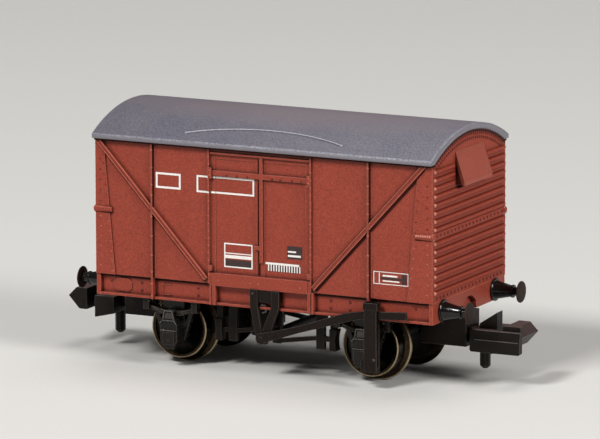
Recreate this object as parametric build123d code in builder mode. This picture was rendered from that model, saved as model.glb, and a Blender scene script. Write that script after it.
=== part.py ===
"""Four-wheel ventilated van, a plastic model for 9 mm track, built to 1:148.

Millimetres. X runs along the van, Y across it and Z up. The origin is on the floor under the
middle of the van, and the wheel flanges stand on it. Each piece is modelled once, at the +X end
or on the -Y side, and its twins are turned half a circle about Z or mirrored.
"""

import os
from math import cos, radians, sin, sqrt

from build123d import *

# Wheelsets
gauge = 9.0
tread_dia = 6.0
flange_depth = 0.55
flange_width = 0.55
flange_play = 0.25
wheel_width = 2.0
wheelbase = 20.6
dish_depth = 0.35
axle_dia = 1.2
point_depth = 0.6
bearing_play = 0.06

# Underframe
ride_height = 6.13
solebar_height = 2.07
solebar_depth = 1.0
solebar_flange = 0.22
solebar_web_recess = 0.45
solebar_gap = 0.23
number_plate_x = -15.3
number_plate_length = 1.9
number_plate_height = 1.25
number_plate_corner = 0.35
number_plate_depth = 0.1
headstock_thickness = 0.4
headstock_core = 0.5
floor_thickness = 1.0
bearer_depth = 0.9
bearer_width = 1.0
bearer_spread = 4.4
cross_bearer_spread = 12.0
ballast_length = 30.0
ballast_width = 12.0
ballast_height = 1.2

# Body
body_length = 36.04
side_height = 13.15
wall = 0.9
skin = 0.12
side_shift = -0.28
stanchion_x = 11.58
stanchion_width = 0.15
stanchion_depth = 0.3
stanchion_flange = 0.6
stanchion_flange_depth = 0.05
door_width = 10.6
door_height = 11.58
door_sill = 1.07
door_recess = 0.15
door_post = 0.16
door_post_gap = 0.16
door_post_depth = 0.2
door_frame = 0.48
door_frame_depth = 0.06
door_lip = 0.18
door_lip_depth = 0.15
door_strip = 0.34
door_strip_shift = 0.15
door_strip_foot = 1.37
door_strip_depth = 0.1
bracket_x = 5.28
bracket_narrow = 0.2
bracket_wide = 0.32
bracket_gap = 0.36
bracket_depth = 0.2
sill_width = 10.2
sill_drop = 0.16
sill_depth = 0.22
strap_width = 0.45
strap_depth = 0.27
strap_head_inset = 0.82
strap_foot_gap = 0.27
strap_over = 0.5
strap_end_gap = 0.03
hinge_band_height = 0.5
hinge_band_drop = 1.85
hinge_band_depth = 0.08
hinge_width = 0.36
hinge_height = 1.05
hinge_depth = 0.26
hinge_foot = 0.55
hinge_foot_rise = 0.2
latch_length = 0.6
latch_height = 0.38
latch_rise = 2.78

# Ends
rib_pitch = 0.795
rib_width = 0.54
rib_depth = 0.28
rib_corner = 0.2
rib_draft = 30.0
rib_inset = 0.35
ribs_above = 8
ribs_below = 7
seam_rise = 6.37
seam_gap = 1.34
seam_width = 0.7
seam_depth = 0.06
corner_top_width = 1.2
corner_foot_width = 2.35
corner_band_length = 1.8
corner_band_height = 0.6
corner_band_depth = 0.2
arch_width = 3.2
arch_height = 1.45
arch_depth = 0.55
hood_width = 6.2
hood_rise = 3.3
hood_bottom = 10.6
hood_reach = 1.0
hood_plate = 0.3
hood_cheek_inset = 0.25

# Roof
roof_rise = 2.86
roof_crown = 0.6
roof_lip = 0.45
roof_side_overhang = 0.54
roof_end_overhang = 0.14
rain_strip_length = 17.2
rain_strip_end = 7.55
rain_strip_peak = 6.15
rain_strip_width = 0.16
rain_strip_height = 0.14

# Axleguards, with their springs and axleboxes
guard_gap = 0.5
guard_thickness = 0.6
guard_leg = 0.5
guard_spread = 2.9
axlebox_width = 1.8
axlebox_foot = 1.0
axlebox_crown = 1.25
axlebox_drop = 1.7
axlebox_chin = 0.8
axlebox_shoulder = 0.5
axlebox_rise = 1.15
axlebox_depth = 1.1
lid_width = 1.3
lid_height = 1.25
lid_drop = 0.65
lid_depth = 0.12
buckle_foot = 1.3
buckle_head = 0.95
buckle_height = 0.85
buckle_rim = 0.17
buckle_recess = 0.2
spring_span = 5.2
spring_thickness = 0.5
spring_camber = 0.7
spring_depth = 0.5
spring_eye = 0.35
spring_shoe = 0.6
spring_steps = (-1, -0.6, -0.2, 0.2, 0.6, 1)

# Brake gear
vee_top = 3.1
vee_foot = 1.0
vee_leg = 0.8
vee_kink = 0.35
vee_centre = 0.3
vee_web_height = 1.2
vee_web_recess = 0.15
shaft_height = 3.35
shaft_dia = 0.8
lever_thickness = 0.25
lever_clear = 0.02
lever_boss = 1.1
lever_end_x = 15.5
rack_x = 11.8
rack_width = 1.3
rack_bottom = 1.15
rack_top = 7.9
rack_bar = 0.25
rack_foot = 0.45
shoe_gap = 0.35
shoe_width = 1.0
shoe_bottom = 2.1
shoe_top = 4.2
hanger_width = 0.5
hanger_bar = 0.6
yoke_x = 4.7
yoke_width = 0.85
yoke_tie = 0.45
push_rod_width = 0.4
push_rod_high = 3.8
push_rod_low = 2.5
push_rod_end = 3.15
crank_width = 0.9
cylinder_dia = 3.2
cylinder_x = -3.6
cylinder_bottom = 2.0

# The brake lever's middle line and depth: how far along it, how high above the shaft, how deep.
lever_stations = (
    (0.0, 0.0, 1.0),
    (4.1, 1.25, 0.66),
    (9.0, 2.85, 0.88),
    (10.8, 3.25, 0.74),
    (lever_end_x, 3.52, 0.74),
)

# Buffers
buffer_spacing = 11.6
buffer_height = 7.15
buffer_length = 2.9
buffer_root_dia = 2.1
buffer_ram_dia = 0.95
buffer_shell = 2.15
buffer_head_dia = 2.12
buffer_head = 0.25

# Couplings, their pockets and pins
pocket_back = 1.5
pocket_reach = 0.38
pocket_width = 3.0
pocket_bottom = 2.9
pivot_inset = 2.82
slot_width = 2.5
slot_roof = 0.1
pin_dia = 0.8
pin_play = 0.05
tail_eye = 2.1
tail_eye_corner = 0.5
tail_width = 1.1
tail_bottom = 3.4
tail_top = 4.65
hook_width = 4.8
hook_gap = 1.18
hook_length = 5.25
hook_bottom = 2.7
hook_top = 4.85
arm_width = 0.6
arm_crease = 3.9
arm_lean = 0.2
arm_corner = 0.15
catch_length = 2.1
catch_front = 2.5
catch_back = 3.0
nose_depth = 2.05
nose_shoulder = 0.9
nose_tip_inset = 0.05
nose_chin = 1.2
nose_bottom = 3.1
nose_tip = 4.35
nose_top = 5.2
nose_end = 0.4
cheek_width = 0.5
cheek_inset = 0.15
cheek_top = 5.35
fin_inset = 0.2
fin_foot = 5.1
fin_top = 6.35
fin_thickness = 1.1
trip_inset = 0.55
trip_width = 0.95
trip_corner = 0.28
trip_bottom = 0.7
trip_point = 0.25

# Heights above the floor and places that follow from the sizes
rail_z = flange_depth
axle_z = rail_z + tread_dia / 2
solebar_z = rail_z + ride_height
sole_top_z = solebar_z + solebar_height
floor_z = sole_top_z - floor_thickness
eave_z = sole_top_z + side_height
crest_z = eave_z + roof_rise
shaft_z = rail_z + shaft_height
door_z = sole_top_z + door_sill
door_top_z = door_z + door_height
seam_z = sole_top_z + seam_rise
hood_z = sole_top_z + hood_bottom
half_length = body_length / 2
plate_x = half_length - headstock_thickness
inside_x = plate_x - headstock_core
end_inner_x = half_length - wall
strap_top_x = half_length - strap_head_inset
axle_x = wheelbase / 2
flange_r = tread_dia / 2 + flange_depth
buffer_y = buffer_spacing / 2

# The couplings and their pockets are placed from the headstock's face.
pivot_x = half_length - pivot_inset
pocket_back_x = pivot_x - pocket_back
pocket_front_x = half_length + pocket_reach
hook_back_x = half_length + hook_gap
hook_front_x = hook_back_x + hook_length
catch_front_x = hook_back_x + catch_length
fin_back_x = hook_back_x + fin_inset
trip_x = hook_back_x + trip_inset
nose_back_x = hook_front_x - nose_depth
nose_shoulder_x = hook_front_x - nose_shoulder
nose_tip_x = hook_front_x - nose_tip_inset
nose_chin_x = hook_front_x - nose_chin
cheek_front_x = hook_front_x - cheek_inset

# The width builds up from the gauge: wheel, axleguard, solebar and the body's skin.
half_gap = gauge / 2 - flange_play - flange_width
wheel_face_y = half_gap + wheel_width
guard_inner = wheel_face_y + guard_gap
point_y = guard_inner + point_depth
solebar_inner_y = guard_inner + guard_thickness + solebar_gap
panel_y = solebar_inner_y + solebar_depth
web_y = panel_y - solebar_web_recess
side_inner_y = panel_y - wall
half_width = panel_y + skin
eave_y = half_width + roof_side_overhang
bracket_y = panel_y + stanchion_depth
lever_y = bracket_y + lever_clear
rack_y = lever_y + lever_thickness + lever_clear

# The underside of the roof is one arc across the van, from eave to eave.
under_rise = roof_rise - roof_crown
under_radius = (half_width**2 + under_rise**2) / (2 * under_rise)


def side_plane(y):
    """A plane of the right side, y out from the middle of the van and centred on its doors."""
    return Plane(origin=(side_shift, -y, 0), x_dir=(1, 0, 0), z_dir=(0, -1, 0))


def under_roof_z(y):
    """Height of the roof's underside at a distance y from the middle."""
    return eave_z + under_rise - under_radius + sqrt(under_radius**2 - y**2)


os.makedirs("parts", exist_ok=True)


def write(builder, node):
    """Label a finished piece and write its STEP file."""
    builder.part.label = node
    export_step(builder.part, f"parts/{node}.step")


def write_pair(builder, node_plus, node_minus):
    """Write a piece and its twin, turned half a circle about Z."""
    write(builder, node_plus)
    with BuildPart() as twin:
        add(builder.part, rotation=(0, 0, 180))
    write(twin, node_minus)


def write_four(builder, stem):
    """Write a corner piece of the front right, and its twins at the other three corners."""
    with BuildPart() as across:
        mirror(builder.part, about=Plane.XZ)
    write_pair(builder, f"{stem}_front_right", f"{stem}_rear_left")
    write_pair(across, f"{stem}_front_left", f"{stem}_rear_right")


# Wheels: a turned tyre with its flange inside and a dished face, pressed on the axle.
with BuildPart() as wheel:
    with BuildSketch(Plane.XY):
        with BuildLine():
            Polyline(
                (axle_dia / 2, half_gap),
                (flange_r, half_gap),
                (tread_dia / 2, half_gap + flange_width),
                (tread_dia / 2, wheel_face_y),
                (axle_dia / 2, wheel_face_y - dish_depth),
                close=True,
            )
        make_face()
    revolve(axis=Axis.Y)

# Axles: steel pins turned to a cone at each end, which run in cups behind the axleboxes.
cone_slope = sin(radians(30)) / cos(radians(30))
cone_length = axle_dia / 2 / cone_slope
with BuildPart() as axle:
    with BuildSketch(Plane.XY):
        with BuildLine():
            Polyline(
                (0, -point_y),
                (axle_dia / 2, -point_y + cone_length),
                (axle_dia / 2, point_y - cone_length),
                (0, point_y),
                close=True,
            )
        make_face()
    revolve(axis=Axis.Y)

for end, x in (("front", axle_x), ("rear", -axle_x)):
    with BuildPart() as placed_axle:
        with Locations((x, 0, axle_z)):
            add(axle.part)
    write(placed_axle, f"axle_{end}")
    for side, turn in (("left", 0), ("right", 180)):
        with BuildPart() as placed_wheel:
            with Locations((x, 0, axle_z)):
                add(wheel.part, rotation=(0, 0, turn))
        write(placed_wheel, f"wheel_{end}_{side}")

# Solebars: an angle along each side, with brackets under the stanchions and the door posts.
sole_mid_z = (solebar_z + sole_top_z) / 2
post_x = door_width / 2 + door_post_gap
bracket_table = [
    # place from the middle of the doors, width, how far out of the panel, how far below the top
    (-stanchion_x, stanchion_width, stanchion_depth, 0),
    (stanchion_x, stanchion_width, stanchion_depth, 0),
    (-bracket_x, bracket_narrow, bracket_depth, 0),
    (bracket_gap - bracket_x, bracket_wide, bracket_depth, sill_drop),
    (bracket_x, bracket_wide, bracket_depth, 0),
    (bracket_x + bracket_gap, bracket_narrow, bracket_depth, 0),
]
with BuildPart() as solebar:
    with BuildSketch(Plane.YZ):
        with BuildLine():
            Polyline(
                (-solebar_inner_y, solebar_z),
                (-solebar_inner_y, sole_top_z),
                (-web_y, sole_top_z),
                (-web_y, solebar_z + solebar_flange),
                (-panel_y, solebar_z + solebar_flange),
                (-panel_y, solebar_z),
                close=True,
            )
        make_face()
    extrude(amount=plate_x, both=True)
    for x, width, depth, drop in bracket_table:
        with BuildSketch(side_plane(web_y)):
            with Locations((x, sole_mid_z - drop / 2)):
                Rectangle(width, solebar_height - drop)
        extrude(amount=solebar_web_recess + depth)

    # The blank number plate has cut corners.
    with BuildSketch(Plane.XZ.offset(web_y)):
        with Locations((number_plate_x, sole_mid_z)):
            plate = Rectangle(number_plate_length, number_plate_height)
            chamfer(plate.vertices(), number_plate_corner)
    extrude(amount=number_plate_depth)
write_pair(solebar, "solebar_right", "solebar_left")

# Headstocks: a plate across each end on a core between the solebars, with a blind arch.
with BuildPart() as headstock:
    with BuildSketch(Plane.YZ.offset(plate_x)):
        with Locations((0, sole_mid_z)):
            Rectangle(2 * panel_y, solebar_height)
    extrude(amount=headstock_thickness)
    with BuildSketch(Plane.YZ.offset(inside_x)):
        with Locations((0, sole_mid_z)):
            Rectangle(2 * solebar_inner_y, solebar_height)
    extrude(amount=headstock_core)
    with BuildSketch(Plane.YZ.offset(half_length - arch_depth)):
        shoulder_z = solebar_z + arch_height - arch_width / 4
        with BuildLine():
            ThreePointArc(
                (-arch_width / 2, shoulder_z),
                (0, solebar_z + arch_height),
                (arch_width / 2, shoulder_z),
            )
            Polyline(
                (arch_width / 2, shoulder_z),
                (arch_width / 2, solebar_z),
                (-arch_width / 2, solebar_z),
                (-arch_width / 2, shoulder_z),
            )
        make_face()
    extrude(amount=arch_depth, mode=Mode.SUBTRACT)
write_pair(headstock, "headstock_front", "headstock_rear")

# Floor: a plate between the solebars, stiffened below by bearers, and the weight on it.
with BuildPart() as floor_plate:
    with BuildSketch(Plane.XY.offset(floor_z)):
        Rectangle(2 * inside_x, 2 * solebar_inner_y)
    extrude(amount=floor_thickness)
    with BuildSketch(Plane.XY.offset(floor_z)):
        for y in (-bearer_spread / 2, bearer_spread / 2):
            with Locations((0, y)):
                Rectangle(2 * pocket_back_x, bearer_width)
        for x in (-cross_bearer_spread / 2, cross_bearer_spread / 2):
            with Locations((x, 0)):
                Rectangle(bearer_width, bearer_spread)
    extrude(amount=-bearer_depth)
write(floor_plate, "floor_plate")

with BuildPart() as ballast_weight:
    with BuildSketch(Plane.XY.offset(sole_top_z)):
        Rectangle(ballast_length, ballast_width)
    extrude(amount=ballast_height)
write(ballast_weight, "ballast_weight")

# Diagonal straps run from the foot of the door post over the top of the corner plate.
foot_x = post_x + strap_foot_gap
head_z = eave_z - strap_width / 2
foot_z = sole_top_z + strap_width
run_x = strap_top_x - foot_x
run_z = head_z - foot_z
run = sqrt(run_x**2 + run_z**2)


def strap_corners(turn):
    """The four corners of a strap, from the middle of the doors, leaning to one end of the van."""
    over_x = strap_top_x + run_x / run * strap_over
    over_z = head_z + run_z / run * strap_over
    aside_x = run_z / run * strap_width / 2
    aside_z = run_x / run * strap_width / 2
    return [
        (turn * (foot_x + aside_x), foot_z - aside_z),
        (turn * (over_x + aside_x), over_z - aside_z),
        (turn * (over_x - aside_x), over_z + aside_z),
        (turn * (foot_x - aside_x), foot_z + aside_z),
    ]


# Sides: a plain panel with stanchions, diagonal straps, double doors and the door sill.
side_mid_z = sole_top_z + side_height / 2
wall_mid_y = (panel_y + side_inner_y) / 2
door_mid_z = door_z + door_height / 2
with BuildPart() as side:
    with BuildSketch(Plane.YZ):
        with BuildLine():
            Polyline(
                (-side_inner_y, under_roof_z(side_inner_y)),
                (-side_inner_y, sole_top_z),
                (-panel_y, sole_top_z),
                (-panel_y, under_roof_z(panel_y)),
            )
            ThreePointArc(
                (-panel_y, under_roof_z(panel_y)),
                (-wall_mid_y, under_roof_z(wall_mid_y)),
                (-side_inner_y, under_roof_z(side_inner_y)),
            )
        make_face()
    extrude(amount=end_inner_x, both=True)
    with BuildSketch(side_plane(panel_y)):
        with Locations((0, door_mid_z)):
            Rectangle(door_width, door_height)
    extrude(amount=-door_recess, mode=Mode.SUBTRACT)

    # Stanchions, fins on a flat flange, and door posts stand proud over the panel's whole height.
    uprights = (
        (stanchion_x, stanchion_width, stanchion_depth),
        (stanchion_x, stanchion_flange, stanchion_flange_depth),
        (post_x, door_post, door_post_depth),
    )
    for x, width, depth in uprights:
        with BuildSketch(side_plane(panel_y)):
            with Locations((-x, side_mid_z), (x, side_mid_z)):
                Rectangle(width, side_height)
        extrude(amount=depth)

    # Doors: two framed leaves under a lip, with the strip that covers their gap, and a latch on it.
    leaf_y = panel_y - door_recess
    band_z = door_top_z - hinge_band_drop
    strip_mid_z = (door_z + door_strip_foot + door_top_z) / 2
    latch_x = door_strip_shift - (door_strip + latch_length) / 2
    with BuildSketch(side_plane(leaf_y)):
        with Locations((0, door_mid_z)):
            Rectangle(door_width, door_height)
        for x in (-door_width / 4, door_width / 4):
            with Locations((x, door_mid_z - door_frame / 2)):
                Rectangle(door_width / 2 - 2 * door_frame, door_height - door_frame, mode=Mode.SUBTRACT)
    extrude(amount=door_frame_depth)
    with BuildSketch(side_plane(leaf_y)):
        with Locations((0, door_top_z + door_lip / 2)):
            Rectangle(door_width, door_lip)
    extrude(amount=door_recess + door_lip_depth)
    with BuildSketch(side_plane(leaf_y)):
        with Locations((door_strip_shift, strip_mid_z)):
            Rectangle(door_strip, door_height - door_strip_foot)
        with Locations((latch_x, door_z + latch_rise)):
            Rectangle(latch_length, latch_height)
    extrude(amount=door_recess + door_strip_depth)

    # The hinges bridge the gap between leaf and post, with a band across the leaves at the upper ones.
    foot_hinge_z = door_z + hinge_foot_rise + hinge_foot / 2
    with BuildSketch(side_plane(leaf_y)):
        for x in (-door_width / 2, door_width / 2):
            with Locations((x, band_z)):
                Rectangle(hinge_width, hinge_height)
            with Locations((x, foot_hinge_z)):
                Rectangle(hinge_width, hinge_foot)
    extrude(amount=door_recess + hinge_depth)
    with BuildSketch(side_plane(leaf_y)):
        with Locations((0, band_z)):
            Rectangle(door_width, hinge_band_height)
    extrude(amount=door_recess + hinge_band_depth)
    with BuildSketch(side_plane(panel_y)):
        with Locations((0, (door_z + sole_top_z - sill_drop) / 2)):
            Rectangle(sill_width, door_z - sole_top_z + sill_drop)
    extrude(amount=sill_depth)

    # The straps end short of the corner plates, which carry them on.
    strap_reach = half_length - corner_top_width - strap_end_gap
    for turn in (-1, 1):
        with BuildSketch(side_plane(panel_y)):
            Polygon(*strap_corners(turn), align=None)
            with Locations((turn * strap_reach / 2, side_mid_z)):
                Rectangle(strap_reach, side_height, mode=Mode.INTERSECT)
        extrude(amount=strap_depth)
write_pair(side, "body_side_right", "body_side_left")

# Ends: pressed steel with rows of ribs, a riveted seam and corner plates round to the sides.
rib_zs = [seam_z + seam_gap / 2 + rib_pitch * i for i in range(ribs_above)]
rib_zs += [seam_z - seam_gap / 2 - rib_pitch * i for i in range(ribs_below)]
rib_half = half_width - rib_inset
eave_edge_z = under_roof_z(panel_y)


def rib_face(y, z, half):
    """The foot of one rib: a long bar with its ends cut to a blunt point, centred at y and z."""
    w = rib_width / 2
    Polygon(
        (y - half, z), (y - half + rib_corner, z - w), (y + half - rib_corner, z - w),
        (y + half, z), (y + half - rib_corner, z + w), (y - half + rib_corner, z + w),
        align=None,
    )


with BuildPart() as end_wall:
    with BuildSketch(Plane.YZ.offset(end_inner_x)):
        with BuildLine():
            Polyline(
                (panel_y, eave_edge_z),
                (panel_y, sole_top_z),
                (-panel_y, sole_top_z),
                (-panel_y, eave_edge_z),
            )
            ThreePointArc((-panel_y, eave_edge_z), (0, eave_z + under_rise), (panel_y, eave_edge_z))
        make_face()
    extrude(amount=wall)
    with BuildSketch(Plane.YZ.offset(half_length)):
        for z in rib_zs:
            if z + rib_width / 2 > hood_z:
                short = (rib_half - hood_width / 2 - rib_inset) / 2
                for y in (-rib_half + short, rib_half - short):
                    rib_face(y, z, short)
            else:
                rib_face(0, z, rib_half)
    extrude(amount=rib_depth, taper=rib_draft)
    with BuildSketch(Plane.YZ.offset(half_length)):
        with Locations((0, seam_z)):
            Rectangle(2 * panel_y, seam_width)
    extrude(amount=seam_depth)

    # The corner plates taper towards the roof and carry the heads of the straps and the seam's band.
    for side_of_van in (-1, 1):
        plate_plane = Plane.XZ.offset(side_of_van * panel_y)
        shift = side_of_van * side_shift
        plate_inner_x = half_length - corner_top_width + shift
        with BuildSketch(plate_plane):
            with BuildLine():
                Polyline(
                    (half_length, sole_top_z),
                    (half_length, under_roof_z(half_width)),
                    (plate_inner_x, under_roof_z(half_width)),
                    (half_length - corner_foot_width + shift, sole_top_z),
                    close=True,
                )
            make_face()
        extrude(amount=side_of_van * skin)
        with BuildSketch(plate_plane):
            with Locations((shift, 0)):
                Polygon(*strap_corners(1), align=None)
            with Locations(((plate_inner_x + half_length) / 2, side_mid_z)):
                Rectangle(half_length - plate_inner_x, side_height, mode=Mode.INTERSECT)
        extrude(amount=side_of_van * strap_depth)
    with BuildSketch(Plane.XY.offset(seam_z - corner_band_height / 2)):
        for side_of_van in (-1, 1):
            band_y = side_of_van * (half_width + corner_band_depth)
            with BuildLine():
                Polyline(
                    (half_length - corner_band_length, side_of_van * panel_y),
                    (half_length - corner_band_length, band_y),
                    (half_length + corner_band_depth, band_y),
                    (half_length + corner_band_depth, side_of_van * (panel_y - rib_inset)),
                    (end_inner_x, side_of_van * (panel_y - rib_inset)),
                    (end_inner_x, side_of_van * panel_y),
                    close=True,
                )
            make_face()
    extrude(amount=corner_band_height)
write_pair(end_wall, "end_front", "end_rear")

# Vent hoods: a sloping plate on two cheeks, open below, high on each end.
with BuildPart() as hood:
    with BuildSketch(Plane.XZ.offset(-hood_width / 2)):
        with BuildLine():
            Polyline(
                (half_length, hood_z + hood_rise),
                (half_length + hood_reach, hood_z + hood_plate),
                (half_length + hood_reach, hood_z),
                (half_length + hood_reach - hood_plate, hood_z),
                (half_length, hood_z + hood_rise - hood_plate * 3),
                close=True,
            )
        make_face()
    extrude(amount=hood_width)
    for y in (-1, 1):
        with BuildSketch(Plane.XZ.offset(y * (hood_width / 2 - hood_cheek_inset))):
            with BuildLine():
                Polyline(
                    (half_length, hood_z + hood_rise - hood_plate),
                    (half_length + hood_reach - hood_plate / 2, hood_z + hood_plate / 2),
                    (half_length, hood_z),
                    close=True,
                )
            make_face()
        extrude(amount=-y * hood_plate)
write_pair(hood, "vent_hood_front", "vent_hood_rear")

# Roof: a curved sheet with a lip all round and a bowed rain strip on each slope.
with BuildPart() as rain_strips:
    with BuildSketch(Plane.YZ):
        with BuildLine():
            ThreePointArc((-eave_y, eave_z + roof_lip), (0, crest_z), (eave_y, eave_z + roof_lip))
            Line((eave_y, eave_z + roof_lip), (eave_y, eave_z + roof_lip + rain_strip_height))
            ThreePointArc(
                (eave_y, eave_z + roof_lip + rain_strip_height),
                (0, crest_z + rain_strip_height),
                (-eave_y, eave_z + roof_lip + rain_strip_height),
            )
            Line((-eave_y, eave_z + roof_lip + rain_strip_height), (-eave_y, eave_z + roof_lip))
        make_face()
    extrude(amount=rain_strip_length / 2, both=True)
    with BuildSketch(Plane.XY.offset(eave_z)):
        for side_of_van in (-1, 1):
            with BuildLine():
                ThreePointArc(
                    (-rain_strip_length / 2, side_of_van * rain_strip_end),
                    (0, side_of_van * rain_strip_peak),
                    (rain_strip_length / 2, side_of_van * rain_strip_end),
                )
            trace(line_width=rain_strip_width)
    extrude(amount=2 * roof_rise, mode=Mode.INTERSECT)

with BuildPart() as roof:
    with BuildSketch(Plane.YZ):
        with BuildLine():
            ThreePointArc((-eave_y, eave_z + roof_lip), (0, crest_z), (eave_y, eave_z + roof_lip))
            Polyline(
                (eave_y, eave_z + roof_lip),
                (eave_y, eave_z),
                (half_width, eave_z),
            )
            ThreePointArc((half_width, eave_z), (0, eave_z + under_rise), (-half_width, eave_z))
            Polyline(
                (-half_width, eave_z),
                (-eave_y, eave_z),
                (-eave_y, eave_z + roof_lip),
            )
        make_face()
    extrude(amount=half_length + roof_end_overhang, both=True)
    add(rain_strips.part)
write(roof, "roof")

# Axleguards: the forked plate, the leaf spring and the axlebox moulded as one.
box_foot_z = axle_z - axlebox_drop
box_head_z = axle_z + axlebox_rise
buckle_z = box_head_z + buckle_height
spring_low_z = box_head_z + buckle_height / 3
spring_end_z = spring_low_z + spring_camber
with BuildPart() as axleguard:
    with BuildSketch(Plane.XZ.offset(guard_inner)):
        with BuildLine():
            Polyline(
                (axle_x - axlebox_width / 2 - guard_leg / 2, axle_z - axlebox_width / 2),
                (axle_x + axlebox_width / 2 + guard_leg / 2, axle_z - axlebox_width / 2),
                (axle_x + guard_spread, floor_z),
                (axle_x - guard_spread, floor_z),
                close=True,
            )
        make_face()
        for turn in (-1, 1):
            with BuildLine():
                Polyline(
                    (axle_x + turn * (axlebox_width / 2 + guard_leg / 2), floor_z - guard_leg),
                    (axle_x + turn * (guard_spread - guard_leg), floor_z - guard_leg),
                    (axle_x + turn * (axlebox_width / 2 + guard_leg / 2), axle_z + guard_leg),
                    close=True,
                )
            make_face(mode=Mode.SUBTRACT)
    extrude(amount=guard_thickness)

    # The axlebox narrows to its chin and to its crown, where the spring's buckle stands.
    box_half = axlebox_width / 2
    with BuildSketch(Plane.XZ.offset(guard_inner + guard_thickness)):
        Polygon(
            (axle_x - axlebox_foot / 2, box_foot_z),
            (axle_x + axlebox_foot / 2, box_foot_z),
            (axle_x + box_half, box_foot_z + axlebox_chin),
            (axle_x + box_half, box_head_z - axlebox_shoulder),
            (axle_x + axlebox_crown / 2, box_head_z),
            (axle_x - axlebox_crown / 2, box_head_z),
            (axle_x - box_half, box_head_z - axlebox_shoulder),
            (axle_x - box_half, box_foot_z + axlebox_chin),
            align=None,
        )
        Polygon(
            (axle_x - buckle_foot / 2, box_head_z),
            (axle_x + buckle_foot / 2, box_head_z),
            (axle_x + buckle_head / 2, buckle_z),
            (axle_x - buckle_head / 2, buckle_z),
            align=None,
        )
    extrude(amount=axlebox_depth)
    with BuildSketch(Plane.XZ.offset(guard_inner + guard_thickness + axlebox_depth)):
        Polygon(
            (axle_x - buckle_foot / 2 + buckle_rim, box_head_z + buckle_rim),
            (axle_x + buckle_foot / 2 - buckle_rim, box_head_z + buckle_rim),
            (axle_x + buckle_head / 2 - buckle_rim, buckle_z - buckle_rim),
            (axle_x - buckle_head / 2 + buckle_rim, buckle_z - buckle_rim),
            align=None,
        )
    extrude(amount=-buckle_recess, mode=Mode.SUBTRACT)
    with BuildSketch(Plane.XZ.offset(guard_inner + guard_thickness + axlebox_depth)):
        with Locations((axle_x, axle_z - lid_drop)):
            Rectangle(lid_width, lid_height)
    extrude(amount=lid_depth)
    spring_top_z = spring_low_z + spring_thickness
    spring_line = [
        (axle_x + t * spring_span / 2, spring_low_z + spring_camber * t**2) for t in spring_steps
    ]
    spring_line += [
        (axle_x + t * spring_span / 2, spring_top_z + (spring_end_z + spring_eye - spring_top_z) * t**2)
        for t in reversed(spring_steps)
    ]
    with BuildSketch(Plane.XZ.offset(guard_inner + guard_thickness)):
        Polygon(*spring_line, align=None)
    extrude(amount=spring_depth)

    # Spring shoes carry the ends of the spring under the solebar.
    shoe_foot_z = spring_end_z - spring_eye / 2
    with BuildSketch(Plane.XZ.offset(guard_inner + guard_thickness)):
        for turn in (-1, 1):
            with Locations((axle_x + turn * spring_span / 2, (shoe_foot_z + solebar_z) / 2)):
                Rectangle(spring_shoe, solebar_z - shoe_foot_z)
    extrude(amount=web_y - guard_inner - guard_thickness)

    # The bearing cup is a cone as steep as the axle's point, with a little end play.
    cup_tip_y = point_y + bearing_play
    cup_mouth_r = (cup_tip_y - guard_inner) * cone_slope
    with BuildSketch(Plane.XY.offset(axle_z)):
        with BuildLine():
            Polyline(
                (axle_x, -cup_tip_y),
                (axle_x + cup_mouth_r, -guard_inner),
                (axle_x, -guard_inner),
                close=True,
            )
        make_face()
    revolve(axis=Axis((axle_x, 0, axle_z), (0, 1, 0)), mode=Mode.SUBTRACT)
write_four(axleguard, "axleguard")

# Vee hangers: two legs over a recessed web on each solebar, carrying the brake shaft's end.
vee_head_z = sole_top_z - sill_drop
vee_kink_z = solebar_z + vee_kink
vee_left = vee_centre - vee_top / 2
vee_right = vee_centre + vee_top / 2
with BuildPart() as vee:
    with BuildSketch(Plane.XZ.offset(panel_y)):
        Polygon(
            (vee_left, vee_head_z),
            (vee_right, vee_head_z),
            (vee_right, vee_kink_z),
            (vee_foot / 2, shaft_z - lever_boss / 2),
            (-vee_foot / 2, shaft_z - lever_boss / 2),
            (vee_left, vee_kink_z),
            align=None,
        )
        Polygon(
            (vee_left + vee_leg, vee_head_z),
            (vee_right - vee_leg, vee_head_z),
            (vee_right - vee_leg, vee_kink_z),
            (0, shaft_z + lever_boss / 2),
            (vee_left + vee_leg, vee_kink_z),
            align=None,
            mode=Mode.SUBTRACT,
        )
    extrude(amount=lever_y - panel_y)
    with BuildSketch(Plane.XZ.offset(web_y)):
        with Locations((vee_centre, vee_head_z - vee_web_height / 2)):
            Rectangle(vee_top, vee_web_height)
    extrude(amount=lever_y - vee_web_recess - web_y)
write_pair(vee, "vee_hanger_right", "vee_hanger_left")

with BuildPart() as brake_shaft:
    with BuildSketch(Plane.XZ):
        with Locations((0, shaft_z)):
            Circle(shaft_dia / 2)
    extrude(amount=panel_y, both=True)
write(brake_shaft, "brake_shaft")

# Brake levers: from the boss on the shaft up through the rack to a level handle.
lever_line = [(x, shaft_z + rise - depth / 2) for x, rise, depth in lever_stations]
lever_line += [(x, shaft_z + rise + depth / 2) for x, rise, depth in reversed(lever_stations)]
with BuildPart() as lever:
    with BuildSketch(Plane.XZ.offset(lever_y)):
        Polygon(*lever_line, align=None)
        with Locations((0, shaft_z)):
            RegularPolygon(lever_boss / 2, 8)
    extrude(amount=lever_thickness)
write_pair(lever, "brake_lever_right", "brake_lever_left")

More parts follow.
